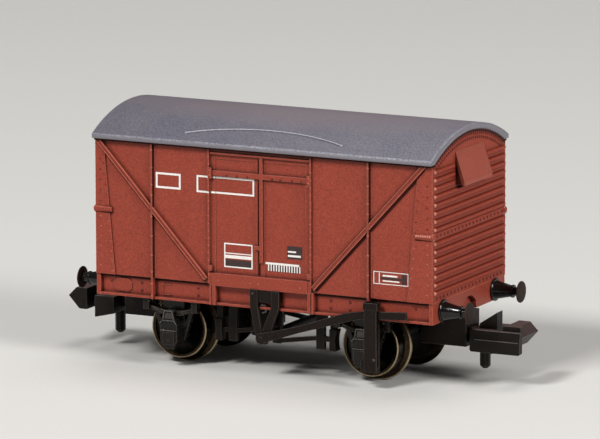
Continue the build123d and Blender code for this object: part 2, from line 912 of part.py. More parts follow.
# Lever racks: two bars with the lever between them, joined at the foot and held by the head.
rack_foot_z = rail_z + rack_bottom
rack_head_z = rail_z + rack_top
rack_face_y = rack_y + rack_bar
with BuildPart() as rack:
    with BuildSketch(Plane.YZ.offset(rack_x - rack_width / 2)):
        with BuildLine():
            Polyline(
                (-bracket_y, rack_head_z - rack_foot),
                (-bracket_y, rack_head_z),
                (-rack_face_y, rack_head_z),
                (-rack_face_y, rack_foot_z),
                (-bracket_y + rack_bar, rack_foot_z),
                (-bracket_y + rack_bar, solebar_z),
                (-bracket_y, solebar_z),
                (-bracket_y, rack_foot_z + rack_foot),
                (-rack_y, rack_foot_z + rack_foot),
                (-rack_y, rack_head_z - rack_foot),
                close=True,
            )
        make_face()
    extrude(amount=rack_width)
write_pair(rack, "lever_rack_right", "lever_rack_left")

# Brake shoes: a block curved round the wheel, its hanger, a tie and the pull rod's yoke.
shoe_in_r = flange_r + shoe_gap
hanger_x = axle_x - shoe_in_r - hanger_bar / 2
shoe_foot = rail_z + shoe_bottom
shoe_head = rail_z + shoe_top
shoe_mid_y = half_gap + flange_width + (wheel_width - flange_width) / 2
shoe_foot_x = axle_x - sqrt(shoe_in_r**2 - (axle_z - shoe_foot) ** 2)
shoe_head_x = axle_x - sqrt(shoe_in_r**2 - (axle_z - shoe_head) ** 2)
tie_z = rail_z + push_rod_end
with BuildPart() as brake_shoe:
    with BuildSketch(Plane.XZ.offset(shoe_mid_y - shoe_width / 2)):
        with BuildLine():
            Polyline(
                (shoe_head_x, shoe_head),
                (hanger_x - hanger_bar / 2, shoe_head),
                (hanger_x - hanger_bar / 2, shoe_foot),
                (shoe_foot_x, shoe_foot),
            )
            ThreePointArc(
                (shoe_foot_x, shoe_foot),
                (axle_x - shoe_in_r, axle_z),
                (shoe_head_x, shoe_head),
            )
        make_face()
    extrude(amount=shoe_width)
    with BuildSketch(Plane.XZ.offset(shoe_mid_y - hanger_width / 2)):
        with Locations((hanger_x, (shoe_head + floor_z) / 2)):
            Rectangle(hanger_bar, floor_z - shoe_head)
        with Locations((yoke_x, (shoe_foot + floor_z) / 2)):
            Rectangle(yoke_width, floor_z - shoe_foot)
        with Locations(((yoke_x + hanger_x) / 2, tie_z)):
            Rectangle(hanger_x - yoke_x, yoke_tie)
    extrude(amount=hanger_width)
write_four(brake_shoe, "brake_shoe")

# Push rods: a crank on the shaft drives a high rod to one yoke and a low rod to the other.
yoke_reach = yoke_x - yoke_width / 2
with BuildPart() as push_rods:
    with BuildSketch(Plane.XZ.offset(shoe_mid_y - push_rod_width / 2)):
        with Locations((0, rail_z + (push_rod_high + push_rod_low) / 2)):
            Rectangle(crank_width, push_rod_high - push_rod_low + push_rod_width)
        for turn, height in ((-1, push_rod_high), (1, push_rod_low)):
            Polygon(
                (0, rail_z + height - push_rod_width / 2),
                (turn * yoke_reach, tie_z - push_rod_width / 2),
                (turn * yoke_reach, tie_z + push_rod_width / 2),
                (0, rail_z + height + push_rod_width / 2),
                align=None,
            )
        with Locations((0, shaft_z)):
            Circle(shaft_dia / 2, mode=Mode.SUBTRACT)
    extrude(amount=push_rod_width)
write_pair(push_rods, "push_rods_right", "push_rods_left")

# Vacuum cylinder: an upright drum under the floor beside the shaft.
with BuildPart() as brake_cylinder:
    with BuildSketch(Plane.XY.offset(rail_z + cylinder_bottom)):
        with Locations((cylinder_x, 0)):
            Circle(cylinder_dia / 2)
    extrude(amount=floor_z - rail_z - cylinder_bottom)
write(brake_cylinder, "brake_cylinder")

# Buffers: a tapered shell, a short ram and a flat head.
buffer_z = rail_z + buffer_height
head_x = half_length + buffer_length
with BuildPart() as buffer:
    with BuildSketch(Plane.XZ):
        with BuildLine():
            Polyline(
                (head_x, 0),
                (head_x, buffer_head_dia / 2),
                (head_x - buffer_head, buffer_head_dia / 2),
                (head_x - buffer_head, buffer_ram_dia / 2),
                (half_length + buffer_shell, buffer_ram_dia / 2),
                (half_length, buffer_root_dia / 2),
                (half_length, 0),
                close=True,
            )
        make_face()
    revolve(axis=Axis.X)
for end, turn in (("front", 0), ("rear", 180)):
    for side, y in (("right", -1), ("left", 1)):
        with BuildPart() as placed_buffer:
            with Locations((0, y * buffer_y, buffer_z)):
                add(buffer.part, rotation=(0, 0, turn))
        write(placed_buffer, f"buffer_{end}_{side}")

# Coupling pockets: a block under the floor and headstock, slotted for the tail, with its pin.
slot_z = rail_z + tail_bottom - slot_roof
slot_height = tail_top - tail_bottom + 2 * slot_roof
pocket_z = rail_z + pocket_bottom
with BuildPart() as pocket:
    with BuildSketch(Plane.XZ.offset(-pocket_width / 2)):
        with BuildLine():
            Polyline(
                (pocket_back_x, pocket_z),
                (pocket_front_x, pocket_z),
                (pocket_front_x, solebar_z),
                (inside_x, solebar_z),
                (inside_x, floor_z),
                (pocket_back_x, floor_z),
                close=True,
            )
        make_face()
    extrude(amount=pocket_width)
    with BuildSketch(Plane.XY.offset(slot_z)):
        with Locations(((pivot_x - slot_width / 2 + pocket_front_x) / 2, 0)):
            Rectangle(pocket_front_x - pivot_x + slot_width / 2, slot_width)
        with Locations((pivot_x, 0)):
            Circle(pin_dia / 2, mode=Mode.SUBTRACT)
    extrude(amount=slot_height, mode=Mode.SUBTRACT)
write_pair(pocket, "coupling_pocket_front", "coupling_pocket_rear")

# Couplings: a tail on the pin, a block with an arm along one side, a nose bar across the front,
# a lifting fin and a pin to trip it by.
arm_y = hook_width / 2
arm_inner_y = arm_y - arm_width
cheek_y = arm_inner_y - cheek_width
nose_length = hook_width - arm_width - nose_end
with BuildPart() as coupling:
    with BuildSketch(Plane.XY.offset(rail_z + tail_bottom)):
        with Locations((pivot_x, 0)):
            eye = Rectangle(tail_eye, tail_eye)
            chamfer(eye.vertices(), tail_eye_corner)
        with Locations(((pivot_x + catch_front_x) / 2, 0)):
            Rectangle(catch_front_x - pivot_x, tail_width)
        with Locations((pivot_x, 0)):
            Circle(pin_dia / 2 + pin_play, mode=Mode.SUBTRACT)
    extrude(amount=tail_top - tail_bottom)

    # The block behind the opening, and the nose bar in front of it.
    with BuildSketch(Plane.XZ.offset(-hook_width / 2)):
        Polygon(
            (hook_back_x, rail_z + catch_back),
            (catch_front_x, rail_z + catch_front),
            (catch_front_x, rail_z + tail_top),
            (hook_back_x, rail_z + tail_top),
            align=None,
        )
    extrude(amount=hook_width - arm_width)
    with BuildSketch(Plane.XZ.offset(-hook_width / 2 + nose_end)):
        Polygon(
            (nose_back_x, rail_z + nose_bottom),
            (nose_chin_x, rail_z + nose_bottom),
            (nose_tip_x, rail_z + nose_tip),
            (nose_shoulder_x, rail_z + nose_top),
            (nose_back_x, rail_z + nose_top),
            align=None,
        )
    extrude(amount=nose_length)

    # The arm has cut corners, and its outer face leans in above a crease.
    with BuildSketch(Plane.XZ.offset(arm_inner_y)):
        with Locations(((hook_back_x + hook_front_x) / 2, rail_z + (hook_bottom + hook_top) / 2)):
            arm_face = Rectangle(hook_front_x - hook_back_x, hook_top - hook_bottom)
            chamfer(arm_face.vertices(), arm_corner)
    extrude(amount=arm_width)
    with BuildSketch(Plane.YZ.offset(hook_back_x)):
        Polygon(
            (-arm_y, rail_z + arm_crease),
            (-arm_y, rail_z + hook_top),
            (-arm_y + arm_lean, rail_z + hook_top),
            align=None,
        )
    extrude(amount=hook_front_x - hook_back_x, mode=Mode.SUBTRACT)
    with BuildSketch(Plane.XZ.offset(cheek_y)):
        Polygon(
            (nose_back_x, rail_z + nose_bottom),
            (nose_chin_x, rail_z + nose_bottom),
            (cheek_front_x, rail_z + nose_tip),
            (cheek_front_x, rail_z + cheek_top),
            (nose_back_x, rail_z + cheek_top),
            align=None,
        )
    extrude(amount=cheek_width)
    with BuildSketch(Plane.XZ.offset(-fin_thickness / 2)):
        Polygon(
            (fin_back_x, rail_z + tail_top),
            (catch_front_x, rail_z + tail_top),
            (catch_front_x, rail_z + fin_top),
            (fin_back_x, rail_z + fin_foot),
            align=None,
        )
    extrude(amount=fin_thickness)

    # The trip pin is an eight-sided post that tapers at its foot.
    foot_plane = Plane(origin=(trip_x, 0, rail_z + trip_bottom + trip_point), z_dir=(0, 0, -1))
    for amount, taper in ((trip_bottom + trip_point - tail_bottom, 0), (trip_point, 45)):
        with BuildSketch(foot_plane):
            post = Rectangle(trip_width, trip_width)
            chamfer(post.vertices(), trip_corner)
        extrude(amount=amount, taper=taper)
write_pair(coupling, "coupling_front", "coupling_rear")
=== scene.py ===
"""The looks of a 1:148 plastic model of a four-wheel ventilated van.

Everything is in metres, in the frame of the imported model: X along the van, Y across, Z up, the floor
at zero under the wheel flanges. Sizes in a section are millimetres until they become a mesh.
"""

from math import cos, pi, radians, sin

import bpy
import numpy as np
from mathutils import Matrix, Vector


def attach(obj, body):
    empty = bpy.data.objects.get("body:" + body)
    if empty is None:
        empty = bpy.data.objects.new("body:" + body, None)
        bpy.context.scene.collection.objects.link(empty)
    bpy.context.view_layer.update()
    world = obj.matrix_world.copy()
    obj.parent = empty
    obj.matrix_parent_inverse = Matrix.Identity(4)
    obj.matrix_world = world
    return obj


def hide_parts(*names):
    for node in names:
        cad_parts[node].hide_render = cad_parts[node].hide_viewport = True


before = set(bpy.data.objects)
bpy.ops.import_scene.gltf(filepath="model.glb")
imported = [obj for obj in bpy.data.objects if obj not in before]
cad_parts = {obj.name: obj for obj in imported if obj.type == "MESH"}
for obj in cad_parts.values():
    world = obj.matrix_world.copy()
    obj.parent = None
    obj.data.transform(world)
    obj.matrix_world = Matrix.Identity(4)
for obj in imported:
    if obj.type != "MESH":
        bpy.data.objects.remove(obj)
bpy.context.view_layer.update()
MM = 0.001


# The camera: a long lens above the right front corner of the van, as the photo was taken. The turn,
# height and distance were fitted to the van's corners and to rails 9 mm apart.
camera_turn = radians(26.602)
camera_rise = radians(10.653)
camera_roll = radians(-0.171)
camera_distance = 688.1 * MM
look_at = Vector((0.0, 0.0, 12.55 * MM))
slide_right = -0.031 * MM
slide_up = 1.496 * MM
focal_px = 7123.9
image_px = 600
sensor_mm = 36.0
nearest_seen, farthest_seen = 0.01, 20

back = Vector((
    sin(camera_turn) * cos(camera_rise), -cos(camera_turn) * cos(camera_rise), sin(camera_rise),
))
level = (-back).cross(Vector((0, 0, 1))).normalized()
upright = level.cross(-back)
right = level * cos(camera_roll) + upright * sin(camera_roll)
up = upright * cos(camera_roll) - level * sin(camera_roll)
camera = bpy.data.objects.new("camera", bpy.data.cameras.new("camera"))
camera.data.sensor_width = sensor_mm
camera.data.lens = focal_px * sensor_mm / image_px
camera.data.clip_start = nearest_seen
camera.data.clip_end = farthest_seen
stand = look_at + back * camera_distance + right * slide_right + up * slide_up
camera.matrix_world = Matrix.Translation(stand) @ Matrix((right, up, back)).transposed().to_4x4()
bpy.context.scene.collection.objects.link(camera)
bpy.context.scene.camera = camera


# The floor and the light: a plain pale sheet, one broad soft box in front of the van, a smaller one
# on its end side and one above, in a pale surround. None of it is part of the van.
def linear(hex_colour):
    """The linear red, green, blue and alpha of an sRGB colour such as "#99483c": each part c becomes
    (c + 0.055) / 1.055 to the power 2.4, or c / 12.92 where it is dark."""
    srgb = np.array([int(hex_colour[i:i + 2], 16) for i in (1, 3, 5)]) / 255
    rgb = np.where(srgb <= 0.04045, srgb / 12.92, ((srgb + 0.055) / 1.055) ** 2.4)
    return (*rgb.tolist(), 1.0)


def new_material(name, colour, roughness, metallic=0.0, ior=1.5):
    """A node material with its output and a principled shader joined up, in one plain finish."""
    material = bpy.data.materials.new(name)
    material.use_nodes = True
    tree = material.node_tree
    tree.nodes.clear()
    shader = tree.nodes.new("ShaderNodeBsdfPrincipled")
    shader.inputs["Base Color"].default_value = linear(colour)
    shader.inputs["Roughness"].default_value = roughness
    shader.inputs["Metallic"].default_value = metallic
    shader.inputs["IOR"].default_value = ior
    output = tree.nodes.new("ShaderNodeOutputMaterial")
    tree.links.new(shader.outputs["BSDF"], output.inputs["Surface"])
    return material, tree, shader


def add_node(tree, kind, settings, links):
    """One node of a material: its settings, by property or socket, and what its sockets are fed by."""
    made = tree.nodes.new(kind)
    for key, value in settings.items():
        if isinstance(key, str) and hasattr(made, key):
            setattr(made, key, value)
        else:
            made.inputs[key].default_value = value
    for key, value in links.items():
        tree.links.new(value, made.inputs[key])
    return made


floor_half = 6.0
surround_strength = 0.17
floor_corners = [(x * floor_half, y * floor_half, 0) for x, y in ((-1, -1), (1, -1), (1, 1), (-1, 1))]
floor_mesh = bpy.data.meshes.new("floor")
floor_mesh.from_pydata(floor_corners, [], [(0, 1, 2, 3)])
floor = bpy.data.objects.new("floor", floor_mesh)
bpy.context.scene.collection.objects.link(floor)
studio_paper = new_material("pale_studio_paper", "#c6c4c0", 0.9)[0]
floor_mesh.materials.append(studio_paper)

surround = bpy.data.worlds.new("surround")
surround.use_nodes = True
surround_light = surround.node_tree.nodes["Background"]
surround_light.inputs["Color"].default_value = linear("#ecebe9")
surround_light.inputs["Strength"].default_value = surround_strength
bpy.context.scene.world = surround
bpy.context.scene.view_settings.view_transform = "Standard"
for name, place, size, watts in (
    ("key_box", (-0.17, -0.52, 0.56), 0.18, 5.4),
    ("end_box", (0.68, -0.20, 0.38), 0.26, 4.6),
    ("top_box", (0.0, 0.25, 0.80), 0.40, 2.0),
):
    lamp = bpy.data.lights.new(name, "AREA")
    lamp.size = size
    lamp.energy = watts
    holder = bpy.data.objects.new(name, lamp)
    holder.location = place
    holder.rotation_euler = (Vector(place) - look_at).to_track_quat("Z", "Y").to_euler()
    bpy.context.scene.collection.objects.link(holder)


# Wheels: turned metal tyres with a rounded flange, a bright rim and tread, and a dished face that is
# chemically blackened, pressed on plain steel axles that run in the axleguards.
def turned(outline, steps):
    """A closed outline of (radius, place) turned round an axis: each of its points goes round a
    circle, radius times cosine and radius times sine of the angle. Gives points (place, across, up)
    and quads."""
    outline = np.array(outline, float)
    angle = np.arange(steps) / steps * 2 * pi
    radius, place = outline[:, :1], outline[:, 1:]
    points = np.stack([place + 0 * angle, radius * np.cos(angle), radius * np.sin(angle)], -1)
    rows = np.arange(len(outline))[:, None]
    columns = np.arange(steps)
    next_row, next_column = (rows + 1) % len(outline), (columns + 1) % steps
    quads = np.stack([
        rows * steps + columns, rows * steps + next_column,
        next_row * steps + next_column, next_row * steps + columns,
    ], -1)
    return points.reshape(-1, 3), quads.reshape(-1, 4)


def facing_out(points, faces):
    """The faces of a closed shell with their fronts outside: its volume, summed as the corners' triple
    product over a fan of each face, has to be positive, and every face is turned round if it is not."""
    volume = 0.0
    for size in set(map(len, faces)):
        corners = points[np.array([face for face in faces if len(face) == size])]
        for k in range(1, size - 1):
            normals = np.cross(corners[:, k], corners[:, k + 1])
            volume += np.einsum("ij,ij->", corners[:, 0], normals)
    return [list(face) if volume > 0 else list(face)[::-1] for face in faces]


def add_piece(name, points, faces, finishes, body, finish_of=None, soft=35.0):
    """A piece of the van: points in millimetres and faces made a mesh in place, smooth but for edges
    sharper than the angle given, that rides on a body and takes its finish from a slot."""
    mesh = bpy.data.meshes.new(name)
    mesh.from_pydata((np.asarray(points) * MM).tolist(), [], [list(face) for face in faces])
    for finish in finishes:
        mesh.materials.append(finish)
    if finish_of is not None:
        mesh.polygons.foreach_set("material_index", np.asarray(finish_of, dtype=np.int32))
    mesh.shade_smooth()
    mesh.set_sharp_from_angle(angle=radians(soft))
    piece = bpy.data.objects.new(name, mesh)
    bpy.context.scene.collection.objects.link(piece)
    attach(piece, body)
    return piece


def add_finish(material, *node_stems):
    """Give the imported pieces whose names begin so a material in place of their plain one."""
    for node_name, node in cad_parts.items():
        if node_name.startswith(node_stems):
            node.data.materials.clear()
            node.data.materials.append(material)


def turned_finish(name, colour, roughness, groove_mm, streak):
    """Metal from the lathe: marks as fine as the groove given, a little lighter and darker by turns,
    in the colour and in the gloss. Real grooves are about 0.03 mm apart. That is less than a pixel,
    0.1 mm, so they are drawn ten times as coarse."""
    noise_low, noise_high, gloss_spread = 0.3, 0.7, 0.1
    material, tree, shader = new_material(name, colour, roughness, 1.0)
    where = add_node(tree, "ShaderNodeTexCoord", {}, {}).outputs["Object"]
    smear = add_node(
        tree, "ShaderNodeTexNoise", {"Scale": 1 / (groove_mm * MM), "Detail": 2.0}, {"Vector": where},
    )
    level = add_node(
        tree, "ShaderNodeMapRange",
        {"From Min": noise_low, "From Max": noise_high, "To Min": 1 - streak, "To Max": 1 + streak},
        {"Value": smear.outputs["Fac"]},
    )
    shaded = add_node(
        tree, "ShaderNodeVectorMath", {"operation": "SCALE", 0: linear(colour)[:3]},
        {"Scale": level.outputs[0]},
    )
    gloss = add_node(
        tree, "ShaderNodeMapRange",
        {"To Min": roughness - gloss_spread, "To Max": roughness + gloss_spread},
        {"Value": smear.outputs["Fac"]},
    )
    tree.links.new(shaded.outputs[0], shader.inputs["Base Color"])
    tree.links.new(gloss.outputs[0], shader.inputs["Roughness"])
    return material


# Nickel silver shines warm on the rim, where the rails keep it rubbed. The tread is painted a dark
# brown, a painted reflection of dark ground, with thin glints, and the blackened face a deeper dark.
# The steel of the axles, and of the ballast weight inside the van, is a cool soft grey.
bright_metal = turned_finish("turned_nickel_silver", "#a39274", 0.32, 0.3, 0.15)
# painted reflection: the tread's dark brown stands for dark ground mirrored in the metal
dull_metal = turned_finish("tread_painted_dark_reflection", "#31281f", 0.26, 0.4, 0.3)
dark_metal = turned_finish("chemically_blackened_metal", "#1a1817", 0.24, 0.4, 0.25)
axle_metal = turned_finish("turned_steel", "#8b8a88", 0.35, 0.3, 0.2)
add_finish(axle_metal, "axle_", "ballast")

axle_x, axle_z = 10.3, 3.55
half_gap, wheel_face = 3.7, 5.7
wheel_steps = 128
bright, dark, dull = range(3)
# radius, place across the van, finish of the band from this point to the next
wheel_outline = (
    (0.6, half_gap, dark), (2.75, half_gap, dull), (3.4, half_gap, dull),
    (3.49, half_gap + 0.03, dull), (3.54, half_gap + 0.1, bright), (3.55, half_gap + 0.2, bright),
    (3.52, half_gap + 0.3, bright), (3.42, half_gap + 0.38, dull), (3.22, half_gap + 0.43, dull),
    (3.08, half_gap + 0.49, dull), (3.01, half_gap + 0.58, dull), (2.99, half_gap + 0.75, dull),
    (2.95, wheel_face - 0.08, bright), (2.9, wheel_face - 0.02, bright), (2.84, wheel_face, dull),
    (2.62, wheel_face, dull), (2.56, wheel_face - 0.03, dull), (2.53, wheel_face - 0.1, dark),
    (2.47, wheel_face - 0.22, dark), (2.35, wheel_face - 0.27, dark), (1.25, wheel_face - 0.37, dark),
    (1.1, wheel_face - 0.33, dark), (1.02, wheel_face - 0.12, dark), (0.96, wheel_face - 0.06, dark),
    (0.6, wheel_face - 0.06, dark),
)
wheel_base, wheel_quads = turned([row[:2] for row in wheel_outline], wheel_steps)
for end, x_sign in (("front", 1), ("rear", -1)):
    for side, y_sign in (("left", 1), ("right", -1)):
        points = np.stack([
            wheel_base[:, 1] + x_sign * axle_x, y_sign * wheel_base[:, 0], wheel_base[:, 2] + axle_z,
        ], -1)
        wheel = add_piece(
            f"turned_wheel_{end}_{side}", points, facing_out(points, wheel_quads.tolist()),
            (bright_metal, dark_metal, dull_metal), f"wheelset_{end}",
            finish_of=np.repeat([row[2] for row in wheel_outline], wheel_steps),
        )
        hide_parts(f"wheel_{end}_{side}")


# Underframe: the axleguards, brake gear, floor, couplings and buffers are black moulded plastic, left
# as it comes from the mould, with a dull skin whose edges are painted paler, as painted highlight and
# as wear.
def moulded_finish(
    name, shades, edge, corner_shade, roughness, patch_mm, grain_mm, grain_lift, bump_mm, edge_mm, corner_mm,
    specular=0.5, dust_and_top_light=None, dust_and_top_light_slopes=(0.45, 0.85), dust_and_top_light_cover=1.0,
):
    """A skin of plastic or paint. Its colour drifts between two shades in soft patches, with a fine
    grain over them that also lifts the surface a little. It turns to the edge colour, a painted
    highlight that also stands for wear, where a rounded normal leans away from the true one, and to
    the corner shade colour, a painted shade, where near surfaces close off the sky. Dust and painted
    top light, where given, lie on the faces that look up: they set in between two values of the
    normal's height and cover at most the share given. The real grain of a mould or of thin paint is
    about 0.03 mm, less than a pixel, so it is drawn five times as coarse or more."""
    noise_low, noise_high, gloss_spread = 0.3, 0.7, 0.07
    sky_closed, sky_open = 0.35, 0.9
    lean_starts, lean_full = 0.99, 0.80
    material, tree, shader = new_material(name, shades[0], roughness)
    shader.inputs["Specular IOR Level"].default_value = specular
    where = add_node(tree, "ShaderNodeTexCoord", {}, {}).outputs["Object"]
    patches = add_node(
        tree, "ShaderNodeTexNoise", {"Scale": 1 / (patch_mm * MM), "Detail": 2.0}, {"Vector": where},
    )
    grain = add_node(
        tree, "ShaderNodeTexNoise", {"Scale": 1 / (grain_mm * MM), "Detail": 1.0}, {"Vector": where},
    )
    rounded = add_node(tree, "ShaderNodeBevel", {"samples": 4, "Radius": edge_mm * MM}, {})
    true_normal = add_node(tree, "ShaderNodeNewGeometry", {}, {}).outputs["Normal"]
    lean = add_node(
        tree, "ShaderNodeVectorMath", {"operation": "DOT_PRODUCT"},
        {0: rounded.outputs[0], 1: true_normal},
    )
    # painted shade: the colour turns to the corner shade colour where near surfaces close off the sky
    sky = add_node(tree, "ShaderNodeAmbientOcclusion", {"samples": 6, "Distance": corner_mm * MM}, {})
    open_sky = add_node(
        tree, "ShaderNodeMapRange", {"From Min": sky_closed, "From Max": sky_open},
        {"Value": sky.outputs["AO"]},
    )
    # painted highlight and wear: the colour turns to the edge colour where the rounded normal leans away
    rubbed_and_lit = add_node(
        tree, "ShaderNodeMapRange", {"From Min": lean_starts, "From Max": lean_full},
        {"Value": lean.outputs["Value"]},
    )
    on_edge = add_node(
        tree, "ShaderNodeMath", {"operation": "MULTIPLY"},
        {0: rubbed_and_lit.outputs[0], 1: open_sky.outputs[0]},
    )
    ground = add_node(
        tree, "ShaderNodeMix", {"data_type": "RGBA", 6: linear(shades[0]), 7: linear(shades[1])},
        {0: patches.outputs["Fac"]},
    )
    grain_level = add_node(
        tree, "ShaderNodeMapRange",
        {"From Min": noise_low, "From Max": noise_high, "To Min": 1 - grain_lift, "To Max": 1 + grain_lift},
        {"Value": grain.outputs["Fac"]},
    )
    skin = add_node(
        tree, "ShaderNodeVectorMath", {"operation": "SCALE"},
        {0: ground.outputs[2], "Scale": grain_level.outputs[0]},
    ).outputs[0]
    # dust and painted top light on the faces that look up
    if dust_and_top_light:
        facing = add_node(tree, "ShaderNodeSeparateXYZ", {}, {0: true_normal})
        lying = add_node(
            tree, "ShaderNodeMapRange",
            {"From Min": dust_and_top_light_slopes[0], "From Max": dust_and_top_light_slopes[1], "To Max": dust_and_top_light_cover},
            {"Value": facing.outputs[2]},
        )
        skin = add_node(
            tree, "ShaderNodeMix", {"data_type": "RGBA", 7: linear(dust_and_top_light)},
            {0: lying.outputs[0], 6: skin},
        ).outputs[2]
    worn_and_lit = add_node(
        tree, "ShaderNodeMix", {"data_type": "RGBA", 7: linear(edge)}, {0: on_edge.outputs[0], 6: skin},
    )
    colour = add_node(
        tree, "ShaderNodeMix", {"data_type": "RGBA", 6: linear(corner_shade)},
        {0: open_sky.outputs[0], 7: worn_and_lit.outputs[2]},
    )
    gloss = add_node(
        tree, "ShaderNodeMapRange",
        {"To Min": roughness - gloss_spread, "To Max": roughness + gloss_spread},
        {"Value": grain.outputs["Fac"]},
    )
    bump = add_node(
        tree, "ShaderNodeBump", {"Strength": 1.0, "Distance": bump_mm * MM},
        {"Height": grain.outputs["Fac"], "Normal": rounded.outputs[0]},
    )
    tree.links.new(colour.outputs[2], shader.inputs["Base Color"])
    tree.links.new(gloss.outputs[0], shader.inputs["Roughness"])
    tree.links.new(bump.outputs[0], shader.inputs["Normal"])
    return material


# Bare from the mould: a warm near-black, soft and dull, with a little dust on top.
black_plastic = moulded_finish(
    "black_moulded_plastic", ("#150f0c", "#1b1410"), edge="#6a6057", corner_shade="#040302", roughness=0.4,
    patch_mm=2.0, grain_mm=0.16, grain_lift=0.35, bump_mm=0.014, edge_mm=0.07, corner_mm=0.6,
    specular=0.13, dust_and_top_light="#2e2825",
)
add_finish(black_plastic, "floor", "coupling_pocket", "vee", "brake", "lever", "push")
# The axleguards are oiled at the bearings: blacker, with a sharper sheen.
oiled_plastic = moulded_finish(
    "oiled_black_plastic", ("#0f0c0a", "#15110f"), edge="#5e5750", corner_shade="#040302", roughness=0.26,
    patch_mm=2.0, grain_mm=0.16, grain_lift=0.35, bump_mm=0.014, edge_mm=0.07, corner_mm=0.5,
    specular=0.25, dust_and_top_light="#35302d",
)
add_finish(oiled_plastic, "axleguard")
# The couplings are handled the most: brown dust and painted top light lie on their upper faces.
handled_and_lit_plastic = moulded_finish(
    "dusty_and_top_lit_black_plastic", ("#14100d", "#1b1512"), edge="#6a6057", corner_shade="#050404", roughness=0.36,
    patch_mm=2.0, grain_mm=0.16, grain_lift=0.35, bump_mm=0.014, edge_mm=0.07, corner_mm=0.5,
    specular=0.13, dust_and_top_light="#483836",
)
add_finish(handled_and_lit_plastic, "coupling_front", "coupling_rear")


# Body sides, solebars and headstocks: moulded plastic under a satin red-brown paint, paler on edges as
# thin paint and as painted highlight, with painted shade in the corners. The hoods over the end vents
# are duller, and painted a little paler as painted light on their upward slope.
brown_paint = moulded_finish(
    "satin_brown_paint", ("#833527", "#8e3d2d"), edge="#cc7c66", corner_shade="#2a0603", roughness=0.46,
    patch_mm=2.6, grain_mm=0.14, grain_lift=0.2, bump_mm=0.012, edge_mm=0.07, corner_mm=0.5,
    specular=0.25,
)
add_finish(brown_paint, "body_side", "headstock", "solebar")
# painted light: the hoods' paint is paler where their faces slope up into the light
hood_lit_paint = moulded_finish(
    "hood_brown_paint_painted_light", ("#8d4335", "#964c3d"), edge="#a05a4b", corner_shade="#2e0904", roughness=0.5,
    patch_mm=2.6, grain_mm=0.14, grain_lift=0.16, bump_mm=0.01, edge_mm=0.05, corner_mm=1.2,
    specular=0.25,
)
add_finish(hood_lit_paint, "vent_hood")


# Rivets and bolts of the sides: low domes moulded on the sheets and the solebars. Some are painted
# paler than the paint round them, a painted highlight, and others darker, a painted shade.
def domes(centres, outward, radius, height=0.5):
    """Low rivet heads: rings round each centre at radius times the cosine of a climb and height times
    radius times its sine, closed by a flat top and by a foot sunk in the surface they stand on."""
    outward = np.array(outward, float)
    across = np.array([outward[1], outward[2], outward[0]])
    along = np.cross(outward, across)
    sides, sunk = 8, 0.06
    angle = np.arange(sides) / sides * 2 * pi
    climb = np.radians([0, 0, 35, 65])
    lift = radius * height * np.sin(climb) - sunk * np.array([1, 0, 0, 0])
    circle = np.cos(angle)[:, None] * across + np.sin(angle)[:, None] * along
    rings = radius * np.cos(climb)[:, None, None] * circle + lift[:, None, None] * outward
    points = np.array(centres, float)[:, None, None, :] + rings
    ring, step = np.arange(3)[:, None] * sides, np.arange(sides)
    turn_on = (step + 1) % sides
    wall = np.stack([ring + step, ring + turn_on, ring + sides + turn_on, ring + sides + step], -1)
    caps = [list(range(sides))[::-1], [3 * sides + int(k) for k in step]]
    single = facing_out(rings.reshape(-1, 3), wall.reshape(-1, 4).tolist() + caps)
    faces = [[k + 4 * sides * i for k in face] for i in range(len(centres)) for face in single]
    return points.reshape(-1, 3), faces


def joined(shells):
    """Several shells as one: their points in a row, and their faces counted on from each other."""
    starts = np.cumsum([0] + [len(points) for points, faces in shells[:-1]])
    faces = [
        [k + int(start) for k in face]
        for start, (points, own_faces) in zip(starts, shells) for face in own_faces
    ]
    return np.concatenate([points for points, own_faces in shells]), faces


def add_pair(name, shells, finishes, replaced=None, finish_of=None):
    """A piece of the +X end, or of the -Y side if its name says so, joined from shells, and its twin,
    turned half a circle about Z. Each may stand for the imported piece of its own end."""
    points, faces = joined(shells)
    for turn, place in zip((1, -1), ("right", "left") if "side" in name else ("front", "rear")):
        made = add_piece(
            f"{name}_{place}", points * np.array([turn, turn, 1]), faces, finishes, "van",
            finish_of=finish_of,
        )
        if replaced:
            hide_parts(f"{replaced}_{place}")


# Painted highlight: paler, a little glossier. Painted shade: a dark film with the same satin shine.
highlight_paint = moulded_finish(
    "painted_highlight_brown_paint", ("#9c4b3a", "#a85543"), edge="#d08a75", corner_shade="#4a130b", roughness=0.42,
    patch_mm=1.2, grain_mm=0.14, grain_lift=0.2, bump_mm=0.006, edge_mm=0.04, corner_mm=0.25,
    specular=0.3,
)
shade_paint = moulded_finish(
    "painted_shade_brown_paint", ("#521810", "#5c1d13"), edge="#8c4132", corner_shade="#3a0e08", roughness=0.45,
    patch_mm=2.6, grain_mm=0.14, grain_lift=0.2, bump_mm=0.004, edge_mm=0.04, corner_mm=0.3,
    specular=0.35,
)
panel_y = 8.03
solebar_web_y = 7.58
# centres along the van, heights, how far out from the middle of the van, radius
bright_rows = [
    ((-11.86, 11.3), (21.3, 19.6, 17.9, 16.9, 14.8, 12.9, 11.0, 9.4, 8.2, 7.0), 8.33, 0.12),
    ((-5.74, 5.18), tuple(np.arange(9.6, 21.7, 0.72)), 8.23, 0.1),
    ((-5.58, 5.02), (19.35, 19.85, 10.3), 8.29, 0.1),
    ((-4.7, -1.27, -0.41, 4.08), (9.12,), 8.25, 0.1),
    ((-0.13,), (12.0, 15.5, 18.6), 8.13, 0.08),
]
dark_rows = [
    ((-13.32, -7.2, 7.05, 9.09), (7.32, 8.06), solebar_web_y, 0.15),
    ((-16.6, 16.0), (8.0,), solebar_web_y, 0.13),
    ((1.06, 1.95, 3.19, 4.15, -1.6, -2.7, -3.8), (19.42,), 8.11, 0.12),
]
for name, rows, paint in (
    ("side_rivets", bright_rows, highlight_paint), ("side_bolts", dark_rows, shade_paint),
):
    shells = [
        domes([(x, -out, z) for x in places for z in heights], (0, -1, 0), radius)
        for places, heights, out, radius in rows
    ]
    add_pair(name, shells, (paint,))
